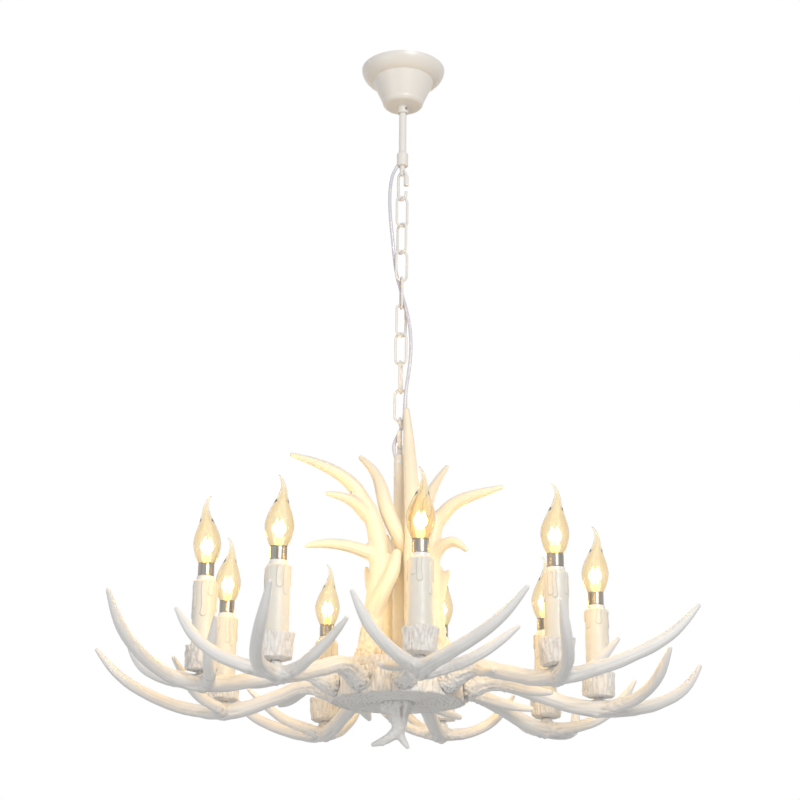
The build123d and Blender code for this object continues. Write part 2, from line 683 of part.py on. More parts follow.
def finial():
    """The small antler stub under the hub, with two prongs."""
    top = hub_bottom
    trunk = limb(
        [(0, 0, top + 6), (0, 0, top - 6), (1, 0, top - 17), (2, 0, top - 29)],
        [finial_top_radius - 1, finial_top_radius, 14.8, 10.6, 8.6])
    left = limb([(2, 0, top - 24), (-1, -1, top - 33), (-11, -3, top - 43), (-29, -6, top - 51)],
                [7.0, 6.6, 6.0, 4.8, 2.6])
    right = limb([(2, 0, top - 28), (3, 1, top - 37), (7, 2, top - 45), (12, 3, top - 52)], [6.0, 5.4, 4.4, 2.4])
    shape = trunk + left + right
    shape -= Pos(0, 0, top) * extrude(Circle(60), 30)
    return shape - Pos(0, 0, top - 11) * extrude(Circle(nipple_diameter / 2), 12)


# ---------------------------------------------------------------- candles and bulbs
cup_top = cup_height
sleeve_top = cup_height + sleeve_height
holder_top = sleeve_top + holder_rim_height
holder_bottom = holder_top - holder_height


def candle_cup():
    """Bark cup, drawn standing on the origin."""
    cup = turned([(0, 0), (cup_bottom_radius, 0), (cup_top_radius, cup_height), (0, cup_height)])
    socket = Pos(0, 0, cup_height - cup_socket_depth) * extrude(Circle(sleeve_diameter / 2 + 0.1), cup_height)
    return cup - socket - Cylinder(nipple_diameter / 2 + 0.1, 4 * cup_height)


def candle_sleeve():
    """Hollow wax sleeve: an open foot in the cup and a mouth for the lampholder."""
    bottom = cup_height - cup_socket_depth
    outer = sleeve_diameter / 2
    sleeve = turned([(0, bottom), (outer, bottom), (outer, sleeve_top - 7), (outer - 0.8, sleeve_top - 3),
                     (outer - 2.6, sleeve_top), (0, sleeve_top)])
    sleeve -= Pos(0, 0, bottom) * extrude(Circle(outer - sleeve_wall), sleeve_top - 3 - bottom)
    return sleeve - Pos(0, 0, bottom) * extrude(Circle(sleeve_mouth_radius), 2 * sleeve_height)


def lampholder():
    """Screw lampholder on its nipple, with the white rim that shows above the sleeve."""
    body = Pos(0, 0, holder_bottom) * extrude(Circle(holder_body_radius), sleeve_top - 3.3 - holder_bottom)
    body += Pos(0, 0, holder_bottom) * extrude(Circle(holder_rim_radius), holder_height)
    body -= Pos(0, 0, holder_bottom + 14) * extrude(Circle(holder_bore_radius), holder_height)
    return body - Pos(0, 0, holder_bottom) * extrude(Circle(nipple_diameter / 2), 8)


def candle_nipple():
    """Threaded tube from the fork, through the cup, up to the lampholder."""
    return ring(nipple_diameter / 2, nipple_bore / 2, holder_bottom + 8, -candle_nipple_depth)


def glass_shape(inset):
    """The flame: round sections, smaller by inset, whose middles drift into a bent tail."""
    shares = [0.0, 0.08, 0.18, 0.29, 0.40, 0.52, 0.63, 0.74, 0.85, 0.93, 1.0]
    widths = [0.56, 0.76, 0.92, 1.0, 0.92, 0.72, 0.50, 0.31, 0.19, 0.13, 0.09]
    drifts = [0, 0, 0, 0, -0.2, -0.8, -1.8, -3.2, -3.6, -1.8, 1.2]
    height = bulb_glass_height - 3 * inset
    sections = []
    for share, width, drift in zip(shares, widths, drifts):
        radius = max(bulb_glass_radius * width - inset, 0.5)
        sections.append(Plane(origin=(drift, 0, share * height), z_dir=(0, 0, 1)) * Circle(radius))
    return loft(sections)


def bulb():
    """Screw cap, metal band, hollow flame glass and filaments, standing on the holder."""
    foot = holder_top + play
    cap = Pos(0, 0, foot - bulb_cap_depth) * extrude(Circle(bulb_cap_radius), bulb_cap_depth)
    cap = chamfer(cap.edges().group_by(Axis.Z)[0], 2.4)
    band = Pos(0, 0, foot) * extrude(Circle(bulb_band_radius), bulb_band_height)
    band = chamfer(band.edges().group_by(Axis.Z)[-1], 0.5)
    glass_foot = foot + bulb_band_height
    hollow = glass_shape(bulb_glass_wall) & extrude(Circle(40), bulb_glass_height * 0.72)
    glass = Pos(0, 0, glass_foot) * (glass_shape(0) - hollow)
    stem = Pos(0, 0, glass_foot) * extrude(Circle(3.4), 17)
    filaments = []
    for turn in range(4):
        low = Rot(0, 0, 45 + 90 * turn) * Pos(2.6, 0, 12)
        leg = Rot(0, 7, 0) * extrude(Circle(filament_radius), filament_length)
        filaments.append(Pos(0, 0, glass_foot) * low * leg)
    pieces = stem
    for leg in filaments:
        pieces += leg
    return Compound([cap + band, glass, pieces])


bulb_turns = (200, 165, 185, 140, 160, 185, 170, 20, 190)   # where each bent tail points, degrees


# ---------------------------------------------------------------- write every node
def main():
    save(ceiling_bracket(), "ceiling_bracket")
    save(canopy(), "canopy")
    save(canopy_collar(), "canopy_collar")
    save(collar_screw(), "collar_screw")
    save(down_rod(), "down_rod")
    save(rod_nuts(), "rod_nuts")
    save(rod_coupler(), "rod_coupler")
    save(canopy_wiring(), "canopy_wiring")

    save(along_z(quick_link(), quick_top_middle, quick_top_turn), "quick_link_top")
    save(along_z(sleeve_nut(), quick_top_middle, quick_top_turn), "quick_link_top_nut")
    for number, link in enumerate(chain_links(), start=1):
        save(link, f"chain_link_{number}")
    flipped = Rot(180, 0, 0)
    save(along_z(flipped * quick_link(), quick_bottom_middle, quick_bottom_turn), "quick_link_bottom")
    save(along_z(flipped * sleeve_nut(), quick_bottom_middle, quick_bottom_turn), "quick_link_bottom_nut")
    save(power_cord(), "power_cord")

    save(tube_cap(), "tube_cap")
    save(tube_screw(), "tube_screw")
    save(centre_tube(), "centre_tube")
    save(hub_wiring(), "hub_wiring")
    save(hub_plate(), "hub_plate")
    save(hub_nipple(), "hub_nipple")
    save(hub_nut(), "hub_nut")
    save(hub_body(), "hub_body")
    save(hub_lid(), "hub_lid")
    save(hub_screws(), "hub_screws")
    save(finial(), "finial")

    for number, arm in enumerate(arm_antlers(), start=1):
        save(arm, f"arm_antler_{number}")
    for number, (foot, limbs) in enumerate(zip(crown_feet, crown_limbs), start=1):
        save(crown_antler(foot, limbs), f"crown_antler_{number}")

    feet = [candle_foot(number) for number in range(arm_count)]
    save(Compound([Pos(foot) * candle_cup() for foot in feet]), "candle_cups")
    save(Compound([Pos(foot) * candle_sleeve() for foot in feet]), "candle_sleeves")
    save(Compound([Pos(foot) * lampholder() for foot in feet]), "lampholders")
    save(Compound([Pos(foot) * candle_nipple() for foot in feet]), "candle_nipples")
    for number, foot in enumerate(feet):
        save(Pos(foot) * Rot(0, 0, bulb_turns[number]) * bulb(), f"bulb_{number + 1}")
    print("candle feet", [tuple(round(value, 2) for value in foot) for foot in feet])
    print("hinges", round(quick_top_wire, 2), round(quick_top_pivot, 2),
          [round(middle - chain_length / 2 + chain_wire / 2, 2) for middle in link_middles],
          round(quick_bottom_pivot, 2), "cap", round(cap_top, 2))


main()
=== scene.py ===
import json
import math

import bpy
import numpy as np
from numpy.linalg import norm
from mathutils import Matrix, Vector


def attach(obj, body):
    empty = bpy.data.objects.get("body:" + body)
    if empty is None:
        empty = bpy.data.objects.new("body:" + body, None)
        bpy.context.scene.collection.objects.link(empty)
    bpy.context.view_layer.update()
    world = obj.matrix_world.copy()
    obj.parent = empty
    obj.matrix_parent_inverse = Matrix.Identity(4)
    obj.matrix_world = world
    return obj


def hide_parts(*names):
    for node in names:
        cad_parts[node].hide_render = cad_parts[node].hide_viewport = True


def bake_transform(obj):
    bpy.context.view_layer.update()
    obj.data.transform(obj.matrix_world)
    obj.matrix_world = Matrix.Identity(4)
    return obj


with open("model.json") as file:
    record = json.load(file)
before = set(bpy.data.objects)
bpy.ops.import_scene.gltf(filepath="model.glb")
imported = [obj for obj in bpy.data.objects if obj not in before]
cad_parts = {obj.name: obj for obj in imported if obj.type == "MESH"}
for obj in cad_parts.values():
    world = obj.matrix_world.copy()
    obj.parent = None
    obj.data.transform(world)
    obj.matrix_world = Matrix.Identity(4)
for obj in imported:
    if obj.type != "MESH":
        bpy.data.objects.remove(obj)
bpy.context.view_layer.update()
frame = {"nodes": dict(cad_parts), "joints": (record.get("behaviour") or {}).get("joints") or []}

scene = bpy.context.scene

MM = 0.001

# -------- sizes, in millimetres
# arms: one moulded shape along +X, set round the hub
ARM_COUNT = 9
FIRST_ARM_ANGLE = 5.8           # from the front, towards the right, degrees
SEAT_DISTANCE = 79.6            # from the hub's axis to the flat behind each arm
SEAT_WIDTH = 39.0
SEAT_GAP = 0.15
ARM_ROOT_HEIGHT = -846.0
FORK_RADIUS = 243.0
FORK_DROP = 19.0
# each arm's azimuth offset, droop and roll in degrees, and its cup's height over the fork
ARM_SETTINGS = (
    (0.0, 1.8, -3.0, 16.0),
    (1.4, -0.9, 2.5, 12.9),
    (3.0, 2.2, 2.5, 14.5),
    (2.0, 2.6, 0.0, 16.5),
    (0.4, 0.4, 1.0, 19.0),
    (-2.4, 1.0, 0.0, 17.0),
    (-0.6, -1.4, -1.0, 14.3),
    (3.6, -2.4, 2.5, 14.5),
    (0.4, 1.0, -3.0, 14.5),
)
BOSS_RADIUS = 9.5

# hub
HUB_RADIUS = 81.6
HUB_RIPPLE = 1.4
HUB_TOP = -820.0
HUB_HEIGHT = 44.5
HUB_INNER_RADIUS = 68.2         # rebate that the lid lies in
LID_SHEET = 3.5
RING_PERIOD = 5.4               # of the rings on the underside
PLAIN_RADIUS = 20.0             # inside it they fade out

# candles, measured up from the cup's foot
CUP_HEIGHT = 30.0
CUP_BOTTOM_RADIUS = 18.3
CUP_TOP_RADIUS = 20.4
CUP_SOCKET_DEPTH = 8.0
SLEEVE_RADIUS = 14.0
SLEEVE_TOP = 108.0
SLEEVE_MOUTH = 10.9
SLEEVE_WALL = 2.2
HOLDER_TOP = 112.5
PLAY = 0.3

# bulbs
BAND_RADIUS = 9.7
BAND_HEIGHT = 16.0
CAP_RADIUS = 6.9
CAP_DEPTH = 22.0
GLASS_HEIGHT = 84.0
GLASS_RADIUS = 16.6
GLASS_WALL = 0.7
FILAMENT_RADIUS = 0.6
GLOW_HEIGHT = 22.0              # of the hottest part, from the foot of the glass
BULB_TURNS = (200, 165, 185, 140, 160, 185, 170, 20, 190)

# cord
CORD_DIAMETER = 4.5
CORD_ROUTE = (
    (-5.5, 0.0, -142.5), (-11.0, 0.0, -152.03),
    (-14.4, -1.6, -164.0), (-16.6, -3.2, -184.0),
    (-16.2, -3.6, -210.0), (-14.2, -2.4, -234.0), (-11.6, 0.6, -257.0),
    (-9.6, 3.8, -279.0), (-6.4, 4.4, -301.0), (-1.6, 1.6, -322.0),
    (3.6, -1.2, -341.0), (8.2, -2.6, -359.0), (11.6, -3.0, -378.0),
    (13.2, -3.4, -399.0), (12.6, -3.2, -421.0), (10.2, -3.6, -442.0),
    (7.4, -4.8, -461.0), (5.8, -5.6, -480.0), (5.4, -5.9, -498.0),
    (4.2, -4.4, -512.0), (-1.6, 0.4, -522.0), (-7.0, 0.8, -533.0),
    (-8.61, 0.0, -543.51), (-5.3, 0.0, -554.0),
)

# -------- camera, lights, stage
CAMERA_PLACE = (-0.00054, -2.16385, -1.23874)
CAMERA_TILT = 19.3993           # above level, degrees
CAMERA_ROLL = 0.4952
CAMERA_LENS = 80.736
CAMERA_SENSOR = 36.0
AMBIENT = 0.44                  # how strongly the white surroundings light the object
# each studio light: name, place, target, width, power, colour
STUDIO_LIGHTS = (
    ("key", (0.9, -2.5, 0.2), (0, 0, -0.75), 1.1, 36.0, (1.0, 0.99, 0.97)),
    ("fill", (-2.0, -1.8, -1.3), (0, 0, -0.8), 1.6, 11.0, (0.97, 0.98, 1.0)),
)
BULB_POWER = 0.38
BULB_COLOR = (1.0, 0.66, 0.12)
BULB_LIGHT_RADIUS = 0.009
FLOOR_HEIGHT = -2.3
FLOOR_HALF = 8.0


def add_object(name, data):
    made = bpy.data.objects.new(name, data)
    scene.collection.objects.link(made)
    return made


def make_camera():
    data = bpy.data.cameras.new("camera")
    data.lens = CAMERA_LENS
    data.sensor_width = CAMERA_SENSOR
    camera = add_object("camera", data)
    tilt = Matrix.Rotation(math.radians(90 + CAMERA_TILT), 4, "X")
    roll = Matrix.Rotation(math.radians(CAMERA_ROLL), 4, "Z")
    camera.matrix_world = Matrix.Translation(CAMERA_PLACE) @ tilt @ roll
    scene.camera = camera


def area_light(name, place, target, width, power, color):
    data = bpy.data.lights.new(name, "AREA")
    data.shape = "DISK"
    data.size = width
    data.energy = power
    data.color = color
    aim = (Vector(target) - Vector(place)).to_track_quat("-Z", "Y")
    add_object(name, data).matrix_world = Matrix.Translation(place) @ aim.to_matrix().to_4x4()


def bulb_light(name, place):
    data = bpy.data.lights.new(name, "POINT")
    data.shadow_soft_size = BULB_LIGHT_RADIUS
    data.energy = BULB_POWER
    data.color = BULB_COLOR
    add_object(name, data).location = place


def light_world():
    """White where it is seen, softer where it lights the object."""
    world = bpy.data.worlds.new("studio")
    scene.world = world
    world.use_nodes = True
    tree = world.node_tree
    rays = tree.nodes.new("ShaderNodeLightPath").outputs
    seen = math_node(tree, "MAXIMUM", rays["Is Camera Ray"], rays["Is Glossy Ray"])
    seen = math_node(tree, "MAXIMUM", seen, rays["Is Transmission Ray"])
    strength = add_node(tree, "MapRange", {"To Min": AMBIENT, "To Max": 1.0, "Value": seen})
    fill(tree, tree.nodes["Background"], {"Color": (1, 1, 1, 1), "Strength": strength.outputs[0]})


def make_floor(material):
    mesh = bpy.data.meshes.new("floor")
    corners = [(x * FLOOR_HALF, y * FLOOR_HALF, FLOOR_HEIGHT) for x, y in ((-1, -1), (1, -1), (1, 1), (-1, 1))]
    mesh.from_pydata(corners, [], [(0, 1, 2, 3)])
    floor = add_object("floor", mesh)
    floor.data.materials.append(material)


# -------- shader nodes
GROUP_INPUTS = {
    "mottled_shaded_paint": ("Paint", "Shade wash", "Shade wash amount", "Mottle scale", "Mottle", "Roughness"),
    "antler_grain": ("Scale", "Stretch", "Pores"),
    "small_lumps": ("Scale", "Fine"),
    "metal_streaks_and_reflection": ("Bright", "Dull", "Scale", "Roughness"),
}
COLOR_SOCKETS = ("Paint", "Shade wash", "Bright", "Dull", "Color")


def fill(tree, node, values):
    """Gives each named input of a node its constant, or the socket that feeds it."""
    for label, value in values.items():
        if isinstance(value, bpy.types.NodeSocket):
            tree.links.new(value, node.inputs[label])
        else:
            node.inputs[label].default_value = value


def add_node(tree, kind, inputs, **settings):
    node = tree.nodes.new(f"ShaderNode{kind}")
    for label, value in settings.items():
        setattr(node, label, value)
    fill(tree, node, inputs)
    return node


def math_node(tree, operation, first, second):
    return add_node(tree, "Math", {0: first, 1: second}, operation=operation).outputs[0]


def plus(tree, first, second):
    return math_node(tree, "ADD", first, second)


def times(tree, first, second):
    return math_node(tree, "MULTIPLY", first, second)


def noise_node(tree, vector, scale, detail):
    return add_node(tree, "TexNoise", {"Vector": vector, "Scale": scale, "Detail": detail}).outputs["Fac"]


def mixed(tree, factor, first, second):
    colors = {"Factor": factor, "A": first, "B": second}
    return add_node(tree, "Mix", colors, data_type="RGBA").outputs["Result"]


def place_on_object(tree):
    return tree.nodes.new("ShaderNodeTexCoord").outputs["Object"]


def attribute(tree, name, output="Fac"):
    return add_node(tree, "Attribute", {}, attribute_name=name).outputs[output]


def new_group(name, *outputs):
    """A node group, the sockets that feed it from outside, and its output node."""
    group = bpy.data.node_groups.new(name, "ShaderNodeTree")
    for side, labels in (("INPUT", GROUP_INPUTS[name]), ("OUTPUT", outputs)):
        for label in labels:
            kind = "NodeSocketColor" if label in COLOR_SOCKETS else "NodeSocketFloat"
            group.interface.new_socket(label, in_out=side, socket_type=kind)
    return group, group.nodes.new("NodeGroupInput").outputs, group.nodes.new("NodeGroupOutput")


def mottled_shaded_paint_group():
    """Paint that is faintly mottled and greyer in its hollows, partly a wash and partly painted shade: colour and
    roughness.
    """
    tree, given, result = new_group("mottled_shaded_paint", "Color", "Roughness")
    mottle = noise_node(tree, place_on_object(tree), given["Mottle scale"], 4.0)
    swing = times(tree, math_node(tree, "SUBTRACT", mottle, 0.5), given["Mottle"])
    # the depth attribute greys the hollows: painted shade, partly a wash
    hollow = times(tree, attribute(tree, "depth"), given["Shade wash amount"])
    washed_and_shaded = mixed(tree, hollow, given["Paint"], given["Shade wash"])
    tone = add_node(tree, "HueSaturation", {"Value": plus(tree, swing, 1.0), "Color": washed_and_shaded})
    rough = plus(tree, given["Roughness"], times(tree, swing, 2.0))
    rough = plus(tree, rough, times(tree, hollow, 0.15))
    fill(tree, result, {"Color": tone.outputs["Color"], "Roughness": rough})


def grain_group():
    """Fine lines that run along a limb, from its own grain coordinates: a height."""
    tree, given, result = new_group("antler_grain", "Height")
    grain = add_node(tree, "SeparateXYZ", {0: attribute(tree, "grain", "Vector")}).outputs
    along = times(tree, grain["Z"], given["Stretch"])
    joined = add_node(tree, "CombineXYZ", {"X": grain["X"], "Y": grain["Y"], "Z": along})
    lines = noise_node(tree, joined.outputs[0], given["Scale"], 3.0)
    pores = noise_node(tree, place_on_object(tree), 1400.0, 2.0)
    pores = times(tree, pores, given["Pores"])
    fill(tree, result, {"Height": plus(tree, lines, pores)})


def skin_group():
    """Small lumps at two sizes on Object coordinates: a height."""
    tree, given, result = new_group("small_lumps", "Height")
    place = place_on_object(tree)
    large = noise_node(tree, place, given["Scale"], 3.0)
    fine = noise_node(tree, place, times(tree, given["Scale"], 4.0), 2.0)
    fine = times(tree, fine, given["Fine"])
    fill(tree, result, {"Height": plus(tree, large, fine)})


def metal_streaks_and_reflection_group():
    """Metal with fine upright streaks from a dull to a bright colour, painted reflection: colour, roughness and
    height.
    """
    tree, given, result = new_group("metal_streaks_and_reflection", "Color", "Roughness", "Height")
    stretch = add_node(tree, "VectorMath", {0: place_on_object(tree), 1: (1, 1, 0.04)}, operation="MULTIPLY")
    streaks = noise_node(tree, stretch.outputs[0], given["Scale"], 3.0)
    swing = times(tree, math_node(tree, "SUBTRACT", streaks, 0.5), 0.3)
    fill(tree, result, {"Color": mixed(tree, streaks, given["Dull"], given["Bright"]),
                        "Roughness": plus(tree, given["Roughness"], swing), "Height": streaks})


# -------- materials
# the grey that the paint turns in hollows: painted shade, partly a wash
SHADE_WASH_GREY = (0.40, 0.36, 0.31, 1)


def coat(weight, roughness):
    return {"Coat Weight": weight, "Coat Roughness": roughness}


# each look: material name, paint, relief and its values, bump strength and distance, other values
PAINTED = {
    "antler": ("antler_paint", ((0.82, 0.81, 0.79, 1), SHADE_WASH_GREY, 0.8, 45.0, 0.06, 0.46),
               "antler_grain", (600.0, 0.04, 0.12), 0.6, 0.0010,
               coat(0.2, 0.25)),
    # the crown's copy of the antler paint is warmer: painted warm light from the bulbs round it; its brown
    # hollows are painted shade, partly a wash
    "crown": ("crown_paint_warm_glow", ((0.87, 0.80, 0.66, 1), (0.46, 0.37, 0.25, 1), 0.7, 45.0, 0.06, 0.46),
              "antler_grain", (600.0, 0.04, 0.12), 0.5, 0.0010,
              coat(0.15, 0.25)),
    "bark": ("bark_paint", ((0.84, 0.82, 0.79, 1), SHADE_WASH_GREY, 0.6, 70.0, 0.1, 0.46),
             "small_lumps", (420.0, 0.5), 0.55, 0.0009,
             coat(0.15, 0.25)),
    # the wax's brown second colour is the painted shade along the runs' edges
    "wax": ("candle_wax", ((0.80, 0.765, 0.69, 1), (0.42, 0.37, 0.29, 1), 0.5, 30.0, 0.04, 0.42),
            "small_lumps", (160.0, 0.2), 0.12, 0.0004,
            {"Subsurface Weight": 0.25, "Subsurface Radius": (0.004, 0.003, 0.002),
             "Subsurface Scale": 1.0, "Coat Weight": 0.08}),
    "paint": ("metal_paint", ((0.80, 0.775, 0.735, 1), SHADE_WASH_GREY, 0.4, 25.0, 0.03, 0.34),
              "small_lumps", (900.0, 0.3), 0.08, 0.0002,
              coat(0.15, 0.2)),
    "holder": ("holder_enamel", ((0.86, 0.85, 0.82, 1), SHADE_WASH_GREY, 0.2, 40.0, 0.02, 0.25),
               "small_lumps", (300.0, 0.2), 0.05, 0.0002,
               coat(0.3, 0.1)),
    "cord": ("clear_jacket", ((0.66, 0.65, 0.72, 1), SHADE_WASH_GREY, 0.2, 120.0, 0.06, 0.22),
             "small_lumps", (500.0, 0.2), 0.06, 0.0002,
             coat(0.5, 0.08)),
    "terminal": ("terminal_block", ((0.78, 0.78, 0.76, 1), SHADE_WASH_GREY, 0.3, 50.0, 0.04, 0.45),
                 "small_lumps", (600.0, 0.3), 0.1, 0.0002, {}),
    "floor": ("pale_floor", ((0.86, 0.86, 0.86, 1), SHADE_WASH_GREY, 0.0, 3.0, 0.01, 0.7),
              "small_lumps", (60.0, 0.3), 0.05, 0.0004, {}),
}


def new_material(name):
    material = bpy.data.materials.new(name)
    material.use_nodes = True
    tree = material.node_tree
    return material, tree, tree.nodes["Principled BSDF"]


def bumped(tree, height, strength, distance):
    inputs = {"Strength": strength, "Distance": distance, "Height": height}
    return add_node(tree, "Bump", inputs).outputs["Normal"]


def use_group(tree, name, values):
    inputs = dict(zip(GROUP_INPUTS[name], values))
    return add_node(tree, "Group", inputs, node_tree=bpy.data.node_groups[name]).outputs


def painted(name, paint, relief, relief_values, strength, distance, shader_values):
    """Aged paint over a relief."""
    material, tree, shader = new_material(name)
    look = use_group(tree, "mottled_shaded_paint", paint)
    height = use_group(tree, relief, relief_values)["Height"]
    fill(tree, shader, {"Base Color": look["Color"], "Roughness": look["Roughness"],
                        "Normal": bumped(tree, height, strength, distance), **shader_values})
    return material


def metal(name, *values):
    """Streaked metal: a bright and a dull colour, the streaks' scale, roughness; the streaks are painted
    reflection.
    """
    material, tree, shader = new_material(name)
    look = use_group(tree, "metal_streaks_and_reflection", values)
    fill(tree, shader, {"Metallic": 1.0, "Base Color": look["Color"], "Roughness": look["Roughness"],
                        "Normal": bumped(tree, look["Height"], 0.12, 0.0001)})
    return material


def glass(name):
    """Thin glass, clear where it is seen square on and golden at its edges, that lets light out."""
    material, tree, shader = new_material(name)
    edge = add_node(tree, "LayerWeight", {"Blend": 0.42}).outputs["Facing"]
    cloud = times(tree, noise_node(tree, place_on_object(tree), 60.0, 2.0), 0.25)
    factor = plus(tree, edge, math_node(tree, "SUBTRACT", cloud, 0.1))
    tint = mixed(tree, factor, (1.0, 0.93, 0.76, 1), (0.78, 0.55, 0.23, 1))
    fill(tree, shader, {"Roughness": 0.015, "IOR": 1.45, "Transmission Weight": 1.0, "Base Color": tint})
    clear = add_node(tree, "BsdfTransparent", {"Color": (1.0, 0.93, 0.8, 1)})
    shadow = tree.nodes.new("ShaderNodeLightPath").outputs["Is Shadow Ray"]
    choice = add_node(tree, "MixShader", {0: shadow, 1: shader.outputs[0], 2: clear.outputs[0]})
    fill(tree, tree.nodes["Material Output"], {"Surface": choice.outputs[0]})
    return material


def glowing(name, hot, cool, strength):
    """A glow that changes along the piece with its depth attribute, hottest where that is 0."""
    material, tree, shader = new_material(name)
    uneven = times(tree, noise_node(tree, place_on_object(tree), 300.0, 2.0), 0.3)
    glow = mixed(tree, plus(tree, attribute(tree, "depth"), uneven), hot, cool)
    fill(tree, shader, {"Base Color": (0.8, 0.7, 0.5, 1), "Roughness": 0.5, "Emission Strength": strength,
                        "Emission Color": glow})
    return material


def make_materials():
    for make_group in (mottled_shaded_paint_group, grain_group, skin_group, metal_streaks_and_reflection_group):
        make_group()
    looks = {look: painted(*values) for look, values in PAINTED.items()}
    # the streaks between dark and bright are painted reflection, strongest on the bulb band
    looks["zinc"] = metal("zinc_steel", (0.66, 0.66, 0.67, 1), (0.4, 0.4, 0.41, 1), 500.0, 0.38)
    looks["chrome"] = metal("bulb_band", (0.52, 0.48, 0.42, 1), (0.14, 0.13, 0.12, 1), 240.0, 0.24)
    looks["glass"] = glass("bulb_glass")
    looks["filament"] = glowing("filament", (1.0, 0.80, 0.46, 1), (1.0, 0.52, 0.16, 1), 16.0)
    # the stem is glass, not a lamp: its glow, hottest at the top, is painted light from the filaments
    looks["stem"] = glowing("filament_stem_painted_glow", (1.0, 0.74, 0.38, 1), (0.6, 0.36, 0.12, 1), 0.8)
    return looks


# -------- shapes from arrays
def smooth_curve(knots, values, at):
    """A cubic curve through the values at the knots, straight at its two ends."""
    gaps = np.diff(knots)
    inner = np.arange(1, len(knots) - 1)
    system = np.eye(len(knots))
    system[inner, inner - 1] = gaps[:-1]
    system[inner, inner] = 2 * (gaps[:-1] + gaps[1:])
    system[inner, inner + 1] = gaps[1:]
    right = np.zeros_like(values)
    right[inner] = 6 * np.diff(np.diff(values, axis=0) / gaps[:, None], axis=0)
    bends = np.linalg.solve(system, right)
    place = np.clip(np.searchsorted(knots, at, side="right") - 1, 0, len(knots) - 2)
    gap = gaps[place][:, None]
    before = (knots[place + 1] - at)[:, None]
    after = (at - knots[place])[:, None]
    curved = (bends[place] * before ** 3 + bends[place + 1] * after ** 3) / (6 * gap)
    first = (values[place] / gap - bends[place] * gap / 6) * before
    return curved + first + (values[place + 1] / gap - bends[place + 1] * gap / 6) * after


def ripples(points, size, seed):
    """A smooth random field of about unit swing: plane waves in random directions."""
    count = 28
    random = np.random.default_rng(seed)
    directions = random.normal(size=(count, 3))
    directions /= lengths(directions)[:, None]
    waves = directions * (2 * math.pi / size * random.uniform(0.7, 1.4, count))[:, None]
    return np.sin(points @ waves.T + random.uniform(0, 2 * math.pi, count)).sum(-1) * math.sqrt(1 / count)


def around(sides):
    return np.linspace(0, 2 * math.pi, sides, endpoint=False)


def unit_ring(sides):
    angle = around(sides)
    return columns(np.cos(angle), np.sin(angle), np.zeros(sides))


def columns(*parts):
    return np.stack(parts, axis=1)


def up(height):
    return np.array([0, 0, height])


def lengths(rows):
    return norm(rows, axis=1)


def unit_range(values):
    return np.clip(values, 0, 1)


def sweep(centre, radius, sides):
    """A tube's grid and frames: circles across a path, each square to it.

    Across is the direction that is least like the path's own, made square to it.
    """
    along = np.gradient(centre, axis=0)
    along /= lengths(along)[:, None]
    steady = np.eye(3)[np.argmin(np.abs(along).max(axis=0))]
    across = np.cross(along, steady)
    across /= lengths(across)[:, None]
    upwards = np.cross(along, across)
    angle = around(sides)
    round_x = np.cos(angle)[None, :, None] * across[:, None, :]
    round_y = np.sin(angle)[None, :, None] * upwards[:, None, :]
    grid = centre[:, None, :] + radius[:, None, None] * (round_x + round_y)
    return grid, (along, across, upwards)


def lathe(profile, sides):
    """A profile of (radius, height) pairs turned about Z."""
    profile = np.asarray(profile, float)
    grid = profile[:, 0][:, None, None] * unit_ring(sides)[None]
    grid[..., 2] += profile[:, 1][:, None]
    return grid


def eased(corners):
    """A profile with rounded corners: corners are (radius, height, rounding)."""
    corners = np.asarray(corners, float)
    points = [corners[0, :2]]
    for before, corner, after in zip(corners, corners[1:], corners[2:]):
        back, ahead = before[:2] - corner[:2], after[:2] - corner[:2]
        start = corner[:2] + back / norm(back) * corner[2]
        end = corner[:2] + ahead / norm(ahead) * corner[2]
        share = np.linspace(0, 1, 5)[:, None]
        points.extend((1 - share) ** 2 * start + 2 * share * (1 - share) * corner[:2] + share ** 2 * end)
    points.append(corners[-1, :2])
    return np.array(points)


def grid_faces(rows, columns, start):
    """Quads between the rows of a grid that is joined round, and one face over each end."""
    index = start + np.arange(rows * columns).reshape(rows, columns)
    after = np.roll(index, -1, axis=1)
    quads = np.stack([index[:-1], after[:-1], after[1:], index[1:]], axis=-1).reshape(-1, 4)
    return quads.tolist() + [index[0][::-1].tolist(), index[-1].tolist()]


def mesh_piece(name, grids):
    """One object from closed grids, each (rows, columns, 3) in millimetres."""
    faces = []
    start = 0
    for grid in grids:
        rows, columns = grid.shape[:2]
        faces += grid_faces(rows, columns, start)
        start += rows * columns
    mesh = bpy.data.meshes.new(name)
    points = np.concatenate([grid.reshape(-1, 3) for grid in grids]) * MM
    mesh.from_pydata(points.tolist(), [], faces)
    mesh.shade_smooth()
    return add_object(name, mesh)


def read_points(mesh):
    points = np.empty(len(mesh.vertices) * 3)
    mesh.vertices.foreach_get("co", points)
    return points.reshape(-1, 3) / MM


def write_points(mesh, points):
    mesh.vertices.foreach_set("co", (points * MM).ravel())
    mesh.update()


def read_normals(mesh):
    normals = np.empty(len(mesh.vertices) * 3, np.float32)
    mesh.vertex_normals.foreach_get("vector", normals)
    return normals.reshape(-1, 3).astype(float)


def write_depth(mesh, depth):
    """How hollow the surface is at each point, from 0 to 1."""
    attribute = mesh.attributes.new("depth", "FLOAT", "POINT")
    attribute.data.foreach_set("value", unit_range(depth).astype(np.float32).ravel())


def finish_piece(piece, material, body, slot, *nodes):
    piece.data.materials.clear()
    piece.data.materials.append(material)
    if body:
        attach(piece, body)
    if nodes:
        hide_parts(*nodes)
    return piece


# -------- antlers
WEB = 2.6                       # how far the fork's webs are filled
VOXEL = 1.35
LIMB_STEP = 1.5
PEARLS = 300                    # beads on each antler
PACKED_PEARLS = 190             # those of them on the burr


